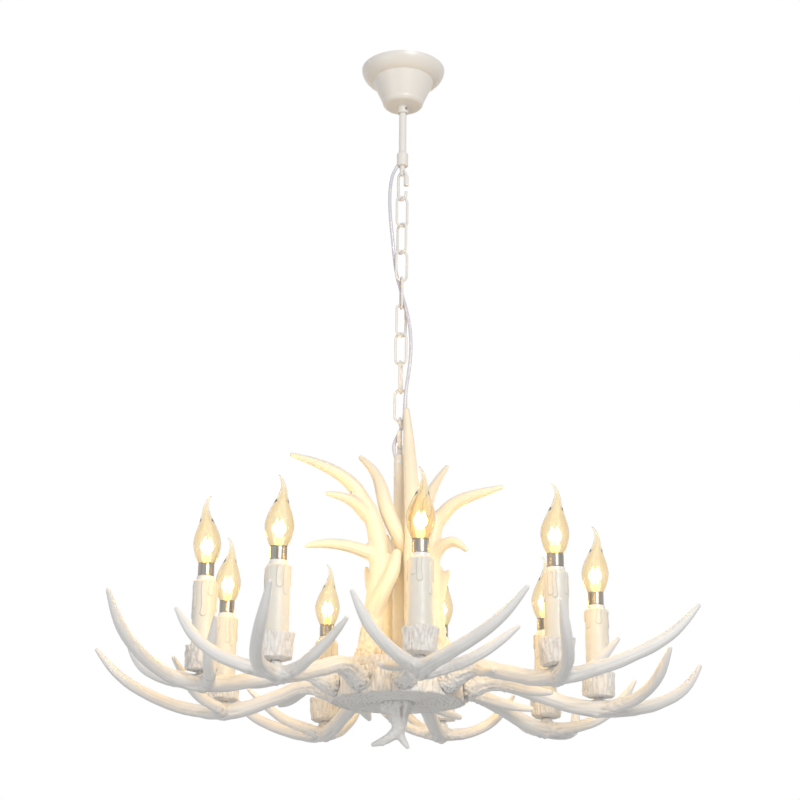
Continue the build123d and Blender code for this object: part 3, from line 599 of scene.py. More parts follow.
class Limb:
    """A tapered limb: its middle line, radii and frames, with rounded ends."""

    def __init__(self, points, radii, flutes=1.0):
        points = np.array(points, float)
        knots = np.concatenate([[0], np.cumsum(lengths(np.diff(points, axis=0)))])
        length = knots[-1]
        at = np.linspace(0, length, max(8, int(length / LIMB_STEP)))
        spaced = np.linspace(0, length, len(radii))
        self.centre = smooth_curve(knots, points, at)
        self.radius = smooth_curve(spaced, np.array(radii, float)[:, None], at)[:, 0]
        self.along_distance = at
        self.share = at / length
        self.flutes = flutes
        _, (self.along, self.across, self.upwards) = sweep(self.centre, self.radius, 3)

    def shell(self, extra):
        """The closed tube, fatter by extra, with half-round ends."""
        swell = np.radians(np.linspace(0, 88, 7))[1:]
        tip = self.radius[-1] + extra
        root = self.radius[0] + extra
        tip_centres = self.centre[-1] + self.along[-1] * (tip * np.sin(swell))[:, None]
        root_centres = self.centre[0] - self.along[0] * (root * np.sin(swell[::-1]))[:, None]
        centre = np.concatenate([root_centres, self.centre, tip_centres])
        radius = np.concatenate([root * np.cos(swell[::-1]), self.radius + extra, tip * np.cos(swell)])
        return sweep(centre, radius, 28)[0]


def skin_over(name, limbs):
    """One skin over the limbs: fused fat, eased, then drawn back in, which webs the forks."""
    rough = mesh_piece(name, [limb.shell(WEB) for limb in limbs])
    for kind, settings in (("REMESH", {"mode": "VOXEL", "voxel_size": VOXEL * MM}),
                           ("SMOOTH", {"factor": 0.5, "iterations": 5}),
                           ("DISPLACE", {"mid_level": 0.0, "strength": -WEB * MM}),
                           ("SMOOTH", {"factor": 0.5, "iterations": 3})):
        modifier = rough.modifiers.new(kind, kind)
        for label, value in settings.items():
            setattr(modifier, label, value)
    graph = bpy.context.evaluated_depsgraph_get()
    mesh = bpy.data.meshes.new_from_object(rough.evaluated_get(graph))
    bpy.data.objects.remove(rough)
    mesh.name = name
    mesh.shade_smooth()
    return add_object(name, mesh)


def limb_frame(points, limbs):
    """For each point: the nearest limb sample, its offset in that limb's frame, and how
    clearly that limb is the nearest, from 0 at a seam between two limbs to 1; then the sample's
    middle and radius."""
    def every(part):
        return np.concatenate([getattr(limb, part) for limb in limbs])

    centre, radius = every("centre"), every("radius")
    owner = np.concatenate([np.full(len(limb.centre), number) for number, limb in enumerate(limbs)])
    nearest = np.empty(len(points), int)
    margin = np.empty(len(points))
    for chunk in np.array_split(np.arange(len(points)), max(1, len(points) // 4000)):
        reach = norm(points[chunk][:, None] - centre[None], axis=2) - radius
        best = np.stack([reach[:, owner == number].min(axis=1) for number in range(len(limbs))], axis=1)
        nearest[chunk] = reach.argmin(axis=1)
        ordered = np.sort(best, axis=1)
        margin[chunk] = ordered[:, 1] - ordered[:, 0] if len(limbs) > 1 else 10.0
    offset = points - centre[nearest]
    local = np.stack([(offset * every(part)[nearest]).sum(axis=1) for part in ("across", "upwards", "along")],
                     axis=1)
    local[:, 2] += every("along_distance")[nearest]
    share = every("share")[nearest]
    return owner[nearest], local, share, unit_range(margin / 5.0), centre[nearest], radius[nearest]


def flutes(local, seed):
    """Lines along a limb: waves round it whose places drift slowly along it."""
    random = np.random.default_rng(seed)
    angle = np.arctan2(local[:, 1], local[:, 0])
    total = np.zeros(len(local))
    for count in (5, 8, 11, 14):
        drift = 0.9 * np.sin(local[:, 2] / random.uniform(14, 30) + random.uniform(0, 6))
        total += np.cos(count * angle + drift + random.uniform(0, 6)) / 2
    return total


def pearls(points, middle, axis, reach, radius, seed):
    """Round beads, packed on the burr and thinning out past it: the highest of many small
    domes, each set on the surface, from 0 to 1."""
    random = np.random.default_rng(seed)
    is_packed = np.arange(PEARLS) < PACKED_PEARLS
    side = np.cross(axis, (0.3, 0.5, 0.81))
    side /= norm(side)
    other = np.cross(axis, side)
    angle = random.uniform(0, 2 * math.pi, PEARLS)
    packed = random.uniform(-reach, reach + 2, PEARLS)
    along = np.where(is_packed, packed, reach + random.exponential(13.0, PEARLS))
    spots = (middle + along[:, None] * axis + radius * np.cos(angle)[:, None] * side
             + radius * np.sin(angle)[:, None] * other)
    width = random.uniform(1.5, 2.7, PEARLS) * np.where(is_packed, 1.0, 0.85)
    near = np.abs((points - middle) @ axis) < reach + 60
    near &= lengths(points - middle) < reach + 62
    surface = points[near]
    spots = surface[norm(spots[:, None] - surface[None], axis=2).argmin(axis=1)]
    gap = norm(surface[:, None] - spots[None], axis=2)
    domes = np.zeros(len(points))
    domes[near] = np.exp(-(gap / width) ** 2.6).max(axis=1)
    return domes


def furrows(points, axis, size, seed):
    """Long waves that run along an axis, about unit swing."""
    squeezed = points - 0.86 * (points @ axis)[:, None] * axis
    return ripples(squeezed, size, seed)


def carve(piece, limbs, burr, seed, fork=None):
    """Flutes, beads and soft unevenness on an antler; burr is (middle, axis, reach, radius).

    Past the fork's web each limb is drawn back to its own radius, so its tip stays clean.
    """
    mesh = piece.data
    points = read_points(mesh)
    normals = read_normals(mesh)
    owner, local, share, clear, centre, thick = limb_frame(points, limbs)
    offset = points - centre
    stretch = lengths(offset)
    trimmed = unit_range((share - 0.5) / 0.3) * clear ** 2
    points = points + ((thick / stretch - 1) * trimmed)[:, None] * offset
    normals = normals * (1 - trimmed)[:, None] + (offset / stretch[:, None]) * trimmed[:, None]
    middle, axis, reach, radius = burr
    from_burr = (points - middle) @ axis
    rough = np.exp(-np.clip(from_burr - reach, 0, None) / 24.0)
    strong = np.array([limb.flutes for limb in limbs])[owner]
    fade = np.clip(1.1 - share, 0.04, 1.0)
    lines = flutes(local, seed)
    relief = (0.26 + 0.75 * rough) * strong * fade * (0.3 + 0.7 * clear) * lines
    # hollow sets how far the paint greys in the grooves and beside the knobs: painted shade, partly a wash
    hollow = unit_range(-lines - 0.2) * (0.2 + 0.75 * rough) * clear * fade
    if fork is not None:
        heart = np.exp(-(lengths(points - fork) / 42.0) ** 2)
        grooves = furrows(points, axis, 6.0, seed + 4)
        relief += 0.42 * heart * grooves
        hollow += 0.4 * heart * unit_range(-grooves - 0.3)
    knobs = ripples(points, 8.0, seed + 2)
    relief += 0.45 * fade * ripples(points, 34.0, seed + 1) + 0.55 * rough * fade * knobs
    hollow += 0.35 * rough * unit_range(-knobs - 0.3)
    beads = pearls(points, middle, axis, reach, radius, seed + 3)
    on_burr = unit_range((reach + 3 - np.abs(from_burr)) / 7)
    relief = relief * (1 - 0.5 * on_burr) + on_burr * (2.3 * beads - 0.9) + (1 - on_burr) * 1.1 * beads
    write_points(mesh, points + normals * relief[:, None])
    # the depth greys the grooves and the gaps between the beads: painted shade, partly a wash
    write_depth(mesh, hollow * (1 - on_burr) * (1 - beads) + on_burr * (1 - beads) ** 1.5)
    grain = mesh.attributes.new("grain", "FLOAT_VECTOR", "POINT")
    grain.data.foreach_set("vector", (local * MM).astype(np.float32).ravel())


def rotation(axis, degrees):
    return np.array(Matrix.Rotation(math.radians(degrees), 3, axis))


class ArmPlace:
    """Sets the arm, drawn along +X, at its side of the hub with its own droop and roll."""

    def __init__(self, number):
        azimuth, droop, roll, lift = ARM_SETTINGS[number]
        step = 360 / ARM_COUNT
        self.turn = rotation("Z", FIRST_ARM_ANGLE + step * number + azimuth - 90)
        self.tip = rotation("Y", droop) @ rotation("X", roll)
        self.root = np.array([SEAT_DISTANCE, 0, ARM_ROOT_HEIGHT])
        self.outwards = self.turn @ np.array([1.0, 0, 0])
        self.fork = self.put([(FORK_RADIUS, 0, ARM_ROOT_HEIGHT - FORK_DROP)])[0]
        self.foot = self.fork + up(lift)

    def put(self, points):
        moved = (np.array(points, float) - self.root) @ self.tip.T + self.root
        return moved @ self.turn.T


def from_fork(out, side, up):
    return (FORK_RADIUS + out, side, ARM_ROOT_HEIGHT - FORK_DROP + up)


def from_root(out, side, up):
    return (SEAT_DISTANCE + out, side, ARM_ROOT_HEIGHT + up)


def on_beam(share, side, up):
    return from_root(share * (FORK_RADIUS - SEAT_DISTANCE), side, up)


def each(place, *points):
    return [place(*point) for point in points]


# each limb of an arm: (points, radii, strength of its flutes)
ARM_LIMBS = (
    ([from_root(-6, 0, 0)]
     + each(on_beam, (0.06, 0, 1.5), (0.17, 1, 7.5), (0.295, 2.5, 8.5), (0.44, 0, 1.5), (0.6, 0, -6),
            (0.78, 0, -14.5)) + [from_fork(0, 0, 0)],
     (14.5, 11.8, 10.2, 9.5, 9.2, 9.2, 9.4, 10.0), 1.1),
    (each(from_root, (-6, 0, 0), (3, 0, 0.5), (14, 0, 2)), (14.0, 15.4, 14.6, 11.6), 1.0),
    (each(from_fork, (0, 0, 0), (18, -14, 3.5), (40, -33, 10.5), (61, -60, 30), (75, -84, 64)),
     (8.6, 7.9, 7.3, 6.8, 5.9, 2.4), 1.0),
    (each(from_fork, (0, 0, 0), (22, 4, 1), (48, 14, 5.5), (85, 40, 20), (114, 68, 42), (134, 91, 71)),
     (9.4, 8.4, 7.6, 7.0, 5.8, 2.6), 1.0),
    (each(from_fork, (-3, 0, -2.5), (-4, 24, 4), (5, 50, 13.5), (9, 77, 31), (13, 103, 53)),
     (8.6, 7.4, 6.8, 6.1, 5.0, 2.3), 1.0),
    (each(on_beam, (0.305, 0, 6.5), (0.405, -13, 1), (0.515, -27, -4), (0.625, -38, -6)),
     (7.6, 7.0, 5.8, 3.4), 0.9),
)


def arm_antler(number):
    """One arm: its limbs in place, fused, carved, then cut flat at its seat and its cup."""
    place = ArmPlace(number)
    limbs = [Limb(place.put(points), radii, strength) for points, radii, strength in ARM_LIMBS]
    ball = Limb([place.fork + up(height) for height in (0.5, 1.5, 2.5)], [9.0, 9.4, 9.0])
    boss_top = place.foot - up(BOSS_RADIUS)
    boss = Limb([place.fork, (place.fork + boss_top) / 2, boss_top], [BOSS_RADIUS] * 3, 0.3)
    limbs += [ball, boss]
    piece = skin_over(f"arm_{number + 1}", limbs)
    root = place.put([place.root])[0]
    carve(piece, limbs, (root + place.outwards * 3, place.outwards, 10.0, 15.5), 40 + number, place.fork)
    points = read_points(piece.data)
    behind = np.clip(SEAT_DISTANCE + SEAT_GAP - points @ place.outwards, 0, None)
    points += behind[:, None] * place.outwards
    over = lengths((points - place.foot)[:, :2]) < CUP_BOTTOM_RADIUS + 3
    points[over, 2] = np.minimum(points[over, 2], place.foot[2] - 0.1)
    write_points(piece.data, points)
    return piece


CROWN_FEET = ((-36, -30), (22, -42), (47, -5), (38, 34), (-16, 44))
CROWN_LIMBS = (
    # left: a thick trunk that sweeps out to a long tine, with five shorter limbs
    ((((-36, -30, -822), (-31, -31, -777), (-26, -31, -733), (-24, -30, -695), (-29, -31, -657),
       (-37, -32, -632)), (13.5, 12.6, 11.8, 11.2, 10.4, 8.8)),
     (((-36, -32, -635), (-58, -40, -603), (-94, -46, -580), (-133, -52, -568)), (8.6, 8.0, 6.8, 5.0, 2.3)),
     (((-37, -33, -642), (-64, -50, -623), (-88, -58, -619)), (7.6, 6.4, 4.8, 2.2)),
     (((-26, -31, -690), (-54, -38, -682), (-84, -47, -679), (-112, -54, -684)), (8.0, 7.0, 6.2, 5.0, 2.2)),
     (((-33, -34, -772), (-23, -43, -745), (-9, -45, -716), (-3, -43, -690)), (9.6, 8.8, 8.2, 7.4, 5.2)),
     (((-29, -29, -762), (-19, -22, -722), (-15, -20, -690), (-17, -18, -664)), (9.0, 8.0, 7.0, 4.2)),
     (((-30, -27, -736), (-37, -19, -720), (-40, -14, -702)), (6.6, 5.0, 3.6, 2.0))),
    # front right: one tall limb that stands past the end of the tube
    ((((22, -42, -822), (19, -43, -745), (17, -42.5, -695), (17, -35, -642), (14, -25, -589),
       (11, -18, -541), (8, -16.5, -497)), (12.5, 11.4, 10.6, 10.0, 9.4, 8.2, 6.4, 3.4)),
     (((18, -41, -735), (26, -52, -705), (30, -66, -680)), (7.4, 6.0, 4.6, 2.4))),
    # right: forks high, with one limb that leans across the front of the tube
    ((((47, -5, -822), (43, -3, -760), (39, 0, -700), (41, 0, -660), (46, 0, -634)),
      (13.0, 12.0, 11.4, 10.6, 9.0)),
     (((45, 0, -641), (66, -4, -617), (94, -10, -605), (127, -14, -596)), (8.2, 7.8, 6.6, 4.8, 2.2)),
     (((40, 1, -660), (34, 12, -620), (42, 22, -588), (60, 32, -556)), (8.4, 7.6, 6.4, 4.8, 2.2)),
     (((40, 0, -690), (51, -8, -673), (65, -14, -667), (82, -20, -678)), (7.4, 7.0, 6.2, 5.0, 2.4)),
     (((41, -4, -742), (29, -15, -712), (14, -20, -687), (-2, -25, -660), (-16, -27, -628),
       (-24, -23, -598), (-34, -16, -575), (-49, -10, -558)), (9.0, 8.8, 8.6, 8.6, 8.4, 7.4, 5.4, 2.6))),
    # back right: low, with a small forked tip
    ((((38, 34, -822), (42, 38, -775), (46, 43, -730)), (12.5, 11.4, 10.4, 8.0)),
     (((46, 43, -733), (49, 46, -712), (52, 46, -689)), (6.8, 5.4, 4.0, 2.0)),
     (((46, 43, -735), (54, 48, -714), (62, 50, -689)), (6.8, 5.4, 4.0, 2.0)),
     (((42, 38, -770), (40, 58, -738), (30, 82, -708), (22, 104, -668)), (9.2, 8.4, 7.2, 5.4, 2.4))),
    # back left: a trunk behind the tube with two tines to the rear
    ((((-16, 44, -822), (-15, 40, -775), (-13, 39, -725), (-17, 44, -680), (-30, 58, -640)),
      (12.5, 11.6, 11.0, 10.2, 9.0, 7.6)),
     (((-29, 57, -643), (-35, 72, -616), (-42, 86, -592)), (7.4, 6.4, 4.8, 2.4)),
     (((-18, 46, -690), (-8, 62, -656), (2, 80, -628), (10, 92, -590)), (8.0, 7.0, 5.8, 2.4)),
     (((-15, 42, -752), (-24, 62, -738), (-32, 82, -730)), (7.4, 6.0, 4.4, 2.2))),
)




def crown_antler(number):
    """One upright antler, cut flat where it stands on the hub's lid."""
    x, y = CROWN_FEET[number]
    foot = Limb([(x, y, HUB_TOP - 4), (x, y, HUB_TOP + 5), (x * 0.97, y * 0.97, HUB_TOP + 18)],
                [15.5, 16.6, 15.6, 12.4])
    limbs = [foot] + [Limb(points, np.array(radii) * 1.1 + 0.2) for points, radii in CROWN_LIMBS[number]]
    piece = skin_over(f"crown_{number + 1}", limbs)
    carve(piece, limbs, (np.array([x, y, HUB_TOP + 5.0]), up(1.0), 10.0, 15.5), 70 + number)
    points = read_points(piece.data)
    points[:, 2] = np.maximum(points[:, 2], HUB_TOP)
    write_points(piece.data, points)
    return piece


def finial():
    """The antler stub under the hub, with its two prongs."""
    top = HUB_TOP - HUB_HEIGHT
    limbs = [
        Limb([(0, 0, top + 6), (0, 0, top - 6), (1, 0, top - 17), (2, 0, top - 29)],
             [17.6, 18.4, 14.4, 10.4, 8.4], 2.2),
        Limb([(2, 0, top - 24), (-1, -1, top - 33), (-11, -3, top - 43), (-29, -6, top - 51)],
             [7.0, 6.6, 6.0, 4.8, 2.6], 0.6),
        Limb([(2, 0, top - 28), (3, 1, top - 37), (7, 2, top - 45), (12, 3, top - 52)],
             [6.0, 5.4, 4.4, 2.4], 0.6),
    ]
    piece = skin_over("finial_stub", limbs)
    carve(piece, limbs, (up(top - 1.0), up(-1.0), 5.0, 18.0), 90)
    points = read_points(piece.data)
    points[:, 2] = np.minimum(points[:, 2], top - 0.1)
    write_points(piece.data, points)
    return piece


# -------- hub
def bark(points, size, seed):
    """Furrowed bark from 0 in a furrow to 1: the far side of upright plane waves."""
    upright = points * np.array([1, 1, 0.22])
    broad = np.abs(ripples(upright, size, seed))
    narrow = np.abs(ripples(upright * np.array([1, 1, 1.6]), size * 0.45, seed + 1))
    return np.clip(0.75 * broad ** 0.7 + 0.25 * narrow, 0, 1.2)


def hub():
    """A slice of trunk: ringed underside, bark side with a flat behind each arm, open top."""
    sides, under_rows, side_rows = 500, 130, 34
    bottom = HUB_TOP - HUB_HEIGHT
    under = columns(np.linspace(6, HUB_RADIUS - 2, under_rows), np.full(under_rows, bottom))
    side = columns(np.full(side_rows, HUB_RADIUS), np.linspace(bottom + 1.5, HUB_TOP - 1.5, side_rows))
    top = np.array([(HUB_RADIUS - 2, HUB_TOP), (HUB_RADIUS - 6, HUB_TOP), (HUB_INNER_RADIUS + 1, HUB_TOP),
                    (HUB_INNER_RADIUS, HUB_TOP - 0.6), (HUB_INNER_RADIUS, HUB_TOP - LID_SHEET),
                    (6, HUB_TOP - LID_SHEET)])
    profile = np.concatenate([under, side, top])
    grid = lathe(profile, sides)
    angle = around(sides)
    radius = profile[:, 0][:, None]
    wave = HUB_RIPPLE * (np.sin(5 * angle) + 0.6 * np.sin(8 * angle + 1))[None]
    outer = unit_range((radius - HUB_INNER_RADIUS) / (HUB_RADIUS - HUB_INNER_RADIUS))
    row = np.arange(len(profile))[:, None]
    is_side = (row >= under_rows - 2) & (row < under_rows + side_rows + 2)
    rough = bark(grid, 7.0, 11)
    reach = radius + wave * outer + np.where(is_side, 2.8 * (rough - 0.72), 0)
    # the flats behind the arms limit how far the bark reaches
    for number in range(ARM_COUNT):
        place = ArmPlace(number)
        facing = math.atan2(place.outwards[1], place.outwards[0])
        off = (angle - facing + math.pi) % (2 * math.pi) - math.pi
        inside = np.abs(np.tan(np.clip(off, -1.2, 1.2))) * SEAT_DISTANCE < SEAT_WIDTH / 2
        limit = np.where(inside & (np.abs(off) < 1), SEAT_DISTANCE / np.cos(off), 1e3)[None]
        reach = np.minimum(reach, limit)
    grid[..., :2] *= (reach / radius)[..., None]
    flat = grid * np.array([1, 1, 0])
    wander = 3.2 * ripples(flat, 55.0, 21) + 1.3 * ripples(flat, 15.0, 22)
    rings = np.abs(np.sin((radius + wander) * math.pi / RING_PERIOD)) ** 0.7
    cracks = unit_range(np.abs(ripples(flat, 9.0, 23)))
    is_under = row < under_rows - 2
    carved = (1.7 * (1 - rings) + 0.45 * (1 - cracks)) * unit_range((radius - PLAIN_RADIUS) / 3)
    grid[..., 2] += np.where(is_under, carved, 0)
    piece = mesh_piece("hub_trunk", [grid])
    # depth greys the ring grooves, the cracks and the bark's furrows: painted shade, partly a wash
    hollow = 0.85 * (1 - rings) + 0.25 * (1 - cracks) - 0.15
    depth = np.where(is_under, hollow, np.where(is_side, 1.5 * (0.6 - rough), 0))
    write_depth(piece.data, depth)
    return piece


# -------- candles
def cup(number):
    """A bark cup: flared, furrowed, uneven at its rim and foot, with the sleeve's socket."""
    random = np.random.default_rng(200 + number)
    sides = 132
    socket = SLEEVE_RADIUS + 0.2
    outside = np.stack([np.linspace(CUP_BOTTOM_RADIUS, CUP_TOP_RADIUS, 30),
                        np.linspace(0.8, CUP_HEIGHT - 0.8, 30)], axis=1)
    profile = np.concatenate([
        [(5.2, 0), (11, 0), (CUP_BOTTOM_RADIUS - 1, 0)], outside,
        [(CUP_TOP_RADIUS - 1, CUP_HEIGHT), (17.4, CUP_HEIGHT), (socket + 0.8, CUP_HEIGHT - 0.3),
         (socket, CUP_HEIGHT - 1.2), (socket, CUP_HEIGHT - CUP_SOCKET_DEPTH),
         (5.2, CUP_HEIGHT - CUP_SOCKET_DEPTH)]])
    grid = lathe(profile, sides)
    rough = bark(grid, 6.5, 300 + 3 * number)
    row = np.arange(len(profile))[:, None]
    skin = ((row >= 2) & (row < 34)).astype(float)
    swell = skin * (2.0 * (rough - 0.62) + 0.7 * ripples(grid, 24.0, 400 + number))
    radius = norm(grid[..., :2], axis=2)
    grid[..., :2] *= (np.clip(radius + swell, 5.2, None) / radius)[..., None]
    angle = around(sides)[None]
    share = (profile[:, 1] / CUP_HEIGHT)[:, None]
    low = 1.1 + 1.1 * np.cos(angle - random.uniform(0, 6)) + 0.35 * np.sin(4 * angle + random.uniform(0, 6))
    high = 0.7 * np.sin(3 * angle + random.uniform(0, 6)) + 0.5 * np.sin(7 * angle + random.uniform(0, 6))
    edge = unit_range((radius - socket) / 3.0)
    grid[..., 2] += np.where(share < 0.5, (1 - 2 * share) * low * edge, (2 * share - 1) * high * edge)
    # the second result greys the bark's furrows: painted shade, partly a wash
    return grid, skin * 1.3 * (0.62 - rough)


def sleeve(number):
    """A wax sleeve: slightly uneven, with raised runs of wax that start under its top."""
    random = np.random.default_rng(500 + number)
    sides, drips = 150, 8
    bottom = CUP_HEIGHT - CUP_SOCKET_DEPTH
    drips_start = SLEEVE_TOP - 48
    # the rows are closer together where the drips are
    heights = np.concatenate([np.linspace(bottom, drips_start, 16, endpoint=False),
                              np.linspace(drips_start, SLEEVE_TOP - 2.4, 84)])
    shoulder = np.array([(SLEEVE_RADIUS - 0.5, SLEEVE_TOP - 1.2), (SLEEVE_RADIUS - 1.6, SLEEVE_TOP - 0.3),
                         (SLEEVE_RADIUS - 2.6, SLEEVE_TOP)])
    inner = SLEEVE_RADIUS - SLEEVE_WALL
    inside = np.array([(SLEEVE_MOUTH, SLEEVE_TOP), (SLEEVE_MOUTH, SLEEVE_TOP - 3), (inner, SLEEVE_TOP - 3.2),
                       (inner, bottom)])
    profile = np.concatenate([columns(np.full(len(heights), SLEEVE_RADIUS), heights), shoulder, inside])
    grid = lathe(profile, sides)
    angle = around(sides)[None]
    height = profile[:, 1][:, None]
    relief = np.zeros((len(profile), sides))
    edge = np.zeros_like(relief)
    for start in (np.arange(drips) + random.uniform(-0.3, 0.3, drips)) * 2 * math.pi / drips:
        width = random.uniform(1.7, 2.9)
        top = SLEEVE_TOP - random.uniform(1.0, 7.0)
        low = top - random.uniform(9, 38)
        across = ((angle - start + math.pi) % (2 * math.pi) - math.pi) * SLEEVE_RADIUS
        across = across - 0.5 * np.sin(height / 5.0 + start)
        swell = width * (1 + 0.25 * unit_range((low + 9 - height) / 9))
        beyond = np.clip(height - top, 0, None) + np.clip(low - height, 0, None)
        gap = np.hypot(across, beyond) - swell
        run = 0.75 * unit_range(0.5 - gap / 0.7) + 0.35 * np.exp(-((gap + 0.55) / 0.45) ** 2)
        relief = np.maximum(relief, run)
        edge = np.maximum(edge, unit_range(1 - np.abs(gap - 0.35) / 0.6))
    skin = (np.arange(len(profile)) < len(heights) + 1)[:, None]
    soft = 0.18 * ripples(grid, 16.0, 600 + number)
    radius = norm(grid[..., :2], axis=2)
    grid[..., :2] *= ((radius + skin * (relief + soft)) / radius)[..., None]
    # the second result greys a thin line where each run of wax meets the sleeve: painted shade in that crease
    return grid, skin * edge


# -------- bulbs
GLASS_SHARES = (0.0, 0.08, 0.18, 0.29, 0.40, 0.52, 0.63, 0.74, 0.85, 0.93, 1.0)
GLASS_WIDTHS = (0.56, 0.76, 0.92, 1.0, 0.92, 0.72, 0.50, 0.31, 0.18, 0.12, 0.06)
GLASS_DRIFTS = (0.0, 0.0, 0.0, 0.0, -0.2, -0.8, -1.8, -3.2, -3.6, -1.8, 1.6)


def glass_wall(inset):
    """Middles and radii of the flame's rows, smaller by inset."""
    at = np.linspace(0, 1, 84)
    widths, drifts = (smooth_curve(np.array(GLASS_SHARES), np.array(values)[:, None], at)[:, 0]
                      for values in (GLASS_WIDTHS, GLASS_DRIFTS))
    height = GLASS_HEIGHT - 2.5 * inset
    centre = columns(drifts, np.zeros(len(at)), at * height)
    return centre, np.clip(widths * GLASS_RADIUS - inset, 0.25, None)


def bulb_grids(number, place):
    """The glass, the metal band with its cap, and the filaments, standing on the holder."""
    turn = rotation("Z", BULB_TURNS[number])
    foot = place.foot + up(HOLDER_TOP + PLAY)
    glass_foot = up(BAND_HEIGHT)
    outer_centre, outer_radius = glass_wall(0)
    inner_centre, inner_radius = glass_wall(GLASS_WALL)
    share = inner_centre[:, 2] / GLASS_HEIGHT
    hollow = share < 0.9
    inner_radius = inner_radius * np.clip((0.905 - share) / 0.3, 0.02, 1) ** 0.5
    centre = np.concatenate([inner_centre[hollow][::-1], outer_centre])
    radius = np.concatenate([inner_radius[hollow][::-1], outer_radius])
    glass_grid = centre[:, None, :] + radius[:, None, None] * unit_ring(48)[None]
    glass_grid = glass_grid @ turn.T + foot + glass_foot
    band = lathe(eased([(0.5, -CAP_DEPTH, 0), (4.5, -CAP_DEPTH, 0.3), (CAP_RADIUS, -CAP_DEPTH + 2.4, 0.5),
                        (CAP_RADIUS, 0, 0.3), (BAND_RADIUS - 0.3, 0, 0.3), (BAND_RADIUS, 0.8, 0.3),
                        (BAND_RADIUS, BAND_HEIGHT - 1.4, 0.3), (BAND_RADIUS - 0.5, BAND_HEIGHT - 0.3, 0.3),
                        (BAND_RADIUS - 1.4, BAND_HEIGHT - 0.1, 0.3), (0.5, BAND_HEIGHT - 0.1, 0)]), 64) + foot
    lift = np.linspace(0, 1, 12)
    filaments = []
    for leg in range(4):
        heading = math.radians(45 + 90 * leg + BULB_TURNS[number])
        spread = 1.6 + 4.2 * np.sin(lift * math.pi * 0.8)
        path = columns(spread * math.cos(heading), spread * math.sin(heading), 9 + 23 * lift)
        filaments.append(sweep(path + foot + glass_foot, np.full(len(lift), FILAMENT_RADIUS), 10)[0])
    post = lathe(eased([(0.3, 0.1, 0), (4.6, 0.1, 0.4), (3.6, 6, 1.5), (2.4, 15, 1.0), (1.0, 21, 0.4),
                        (0.3, 22, 0)]), 24)
    return glass_grid, band, filaments, post + foot + glass_foot


def cord_line():
    """The cord's smooth line: a spline with the route's points as its control points."""
    curve = bpy.data.curves.new("cord_line", "CURVE")
    curve.dimensions = "3D"
    spline = curve.splines.new("NURBS")
    spline.points.add(len(CORD_ROUTE) - 1)
    for point, place in zip(spline.points, CORD_ROUTE):
        point.co = (place[0] * MM, place[1] * MM, place[2] * MM, 1)
    spline.order_u = 3
    spline.use_endpoint_u = True
    spline.resolution_u = 12
    line = add_object("cord_line", curve)
    graph = bpy.context.evaluated_depsgraph_get()
    mesh = bpy.data.meshes.new_from_object(line.evaluated_get(graph))
    points = read_points(mesh)
    bpy.data.objects.remove(line)
    return points


def make_cord(material):
    """The cord in stretches, one across each pivot of the chain.

    One stretch hands over to the next halfway between two pivots.
    """
    line = cord_line()
    pivots = [joint["pos_m"][2] / MM for joint in frame["joints"] if joint["type"] == "hinge"]
    pivots.sort(reverse=True)
    cuts = [line[0, 2]] + [(upper + lower) / 2 for upper, lower in zip(pivots, pivots[1:])] + [line[-1, 2]]
    for number, (upper, lower) in enumerate(zip(cuts, cuts[1:])):
        between = (line[:, 2] < upper - 0.2) & (line[:, 2] > lower + 0.2)
        heights = np.concatenate([[upper], line[between, 2], [lower]])
        path = np.stack([np.interp(-heights, -line[:, 2], line[:, axis]) for axis in range(3)], axis=1)
        grid, _ = sweep(path, np.full(len(path), CORD_DIAMETER / 2), 20)
        piece = mesh_piece(f"cord_{number + 1}", [grid])
        finish_piece(piece, material, None, "clear_cord", "power_cord")
        length = lengths(np.diff(path, axis=0)).sum()
        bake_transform(piece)


# -------- build it all
def dress_cad_nodes(looks):
    """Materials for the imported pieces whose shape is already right."""
    finishes = {
        "paint": ["canopy", "canopy_collar", "down_rod", "rod_coupler", "quick_link_top", "quick_link_top_nut",
                  "quick_link_bottom", "quick_link_bottom_nut", "tube_cap", "centre_tube", "hub_lid"]
                 + [f"chain_link_{number}" for number in range(1, 9)],
        "zinc": ["ceiling_bracket", "rod_nuts", "hub_plate", "hub_nipple", "hub_nut", "hub_screws",
                 "candle_nipples", "tube_screw", "collar_screw"],
        "holder": ["lampholders"],
        "terminal": ["canopy_wiring", "hub_wiring"],
    }
    for finish, nodes in finishes.items():
        for node in nodes:
            materials = frame["nodes"][node].data.materials
            materials.clear()
            materials.append(looks[finish])


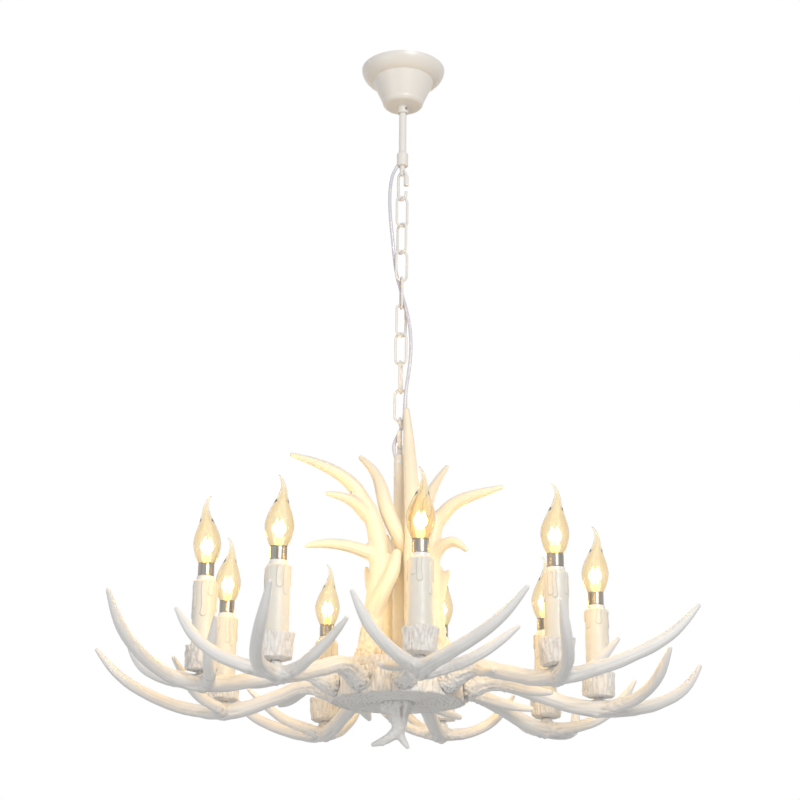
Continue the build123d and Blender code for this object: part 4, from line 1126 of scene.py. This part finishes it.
def make_candles(looks):
    """Each candle's cup, sleeve and bulb, with its light; a piece without a depth is plain."""
    for number in range(ARM_COUNT):
        place = ArmPlace(number)
        label = number + 1
        body = f"bulb_{label}"
        cup_grid, cup_depth = cup(number)
        sleeve_grid, sleeve_depth = sleeve(number)
        glass_grid, band, filaments, post = bulb_grids(number, place)
        glow_height = place.foot[2] + HOLDER_TOP + BAND_HEIGHT + GLOW_HEIGHT
        for name, grids, depth, look, rides, slot, node in (
                ("candle_cup", [cup_grid + place.foot], cup_depth, "bark", "chandelier", "bark_white",
                 "candle_cups"),
                ("candle_sleeve", [sleeve_grid + place.foot], sleeve_depth, "wax", "chandelier", "candle_wax",
                 "candle_sleeves"),
                ("bulb_glass", [glass_grid], None, "glass", body, "bulb_glass", body),
                ("bulb_band", [band], None, "chrome", body, None, body),
                ("filaments", filaments, lambda height: np.abs(height - glow_height) / 14, "filament", body, None,
                 body),
                # the post glows less further down: painted light from the filaments
                ("filament_post", [post], lambda height: (glow_height - height) / GLOW_HEIGHT, "stem", body,
                 None, body)):
            piece = mesh_piece(f"{name}_{label}", grids)
            if callable(depth):
                depth = depth(read_points(piece.data)[:, 2])
            if depth is not None:
                write_depth(piece.data, depth)
            finish_piece(piece, looks[look], rides, slot, node)
        bulb_light(f"bulb_light_{label}", (place.foot[0] * MM, place.foot[1] * MM, glow_height * MM))


def main():
    make_camera()
    looks = make_materials()
    make_cord(looks["cord"])
    light_world()
    make_floor(looks["floor"])
    for light in STUDIO_LIGHTS:
        area_light(*light)
    dress_cad_nodes(looks)
    for number in range(ARM_COUNT):
        finish_piece(arm_antler(number), looks["antler"], "chandelier", "antler_white",
                     f"arm_antler_{number + 1}")
    for number in range(len(CROWN_FEET)):
        finish_piece(crown_antler(number), looks["crown"], "chandelier", "antler_white",
                     f"crown_antler_{number + 1}")
    finish_piece(finial(), looks["antler"], "chandelier", "antler_white", "finial")
    finish_piece(hub(), looks["bark"], "chandelier", "bark_white", "hub_body")
    make_candles(looks)
    scene.view_settings.view_transform = "Standard"


main()
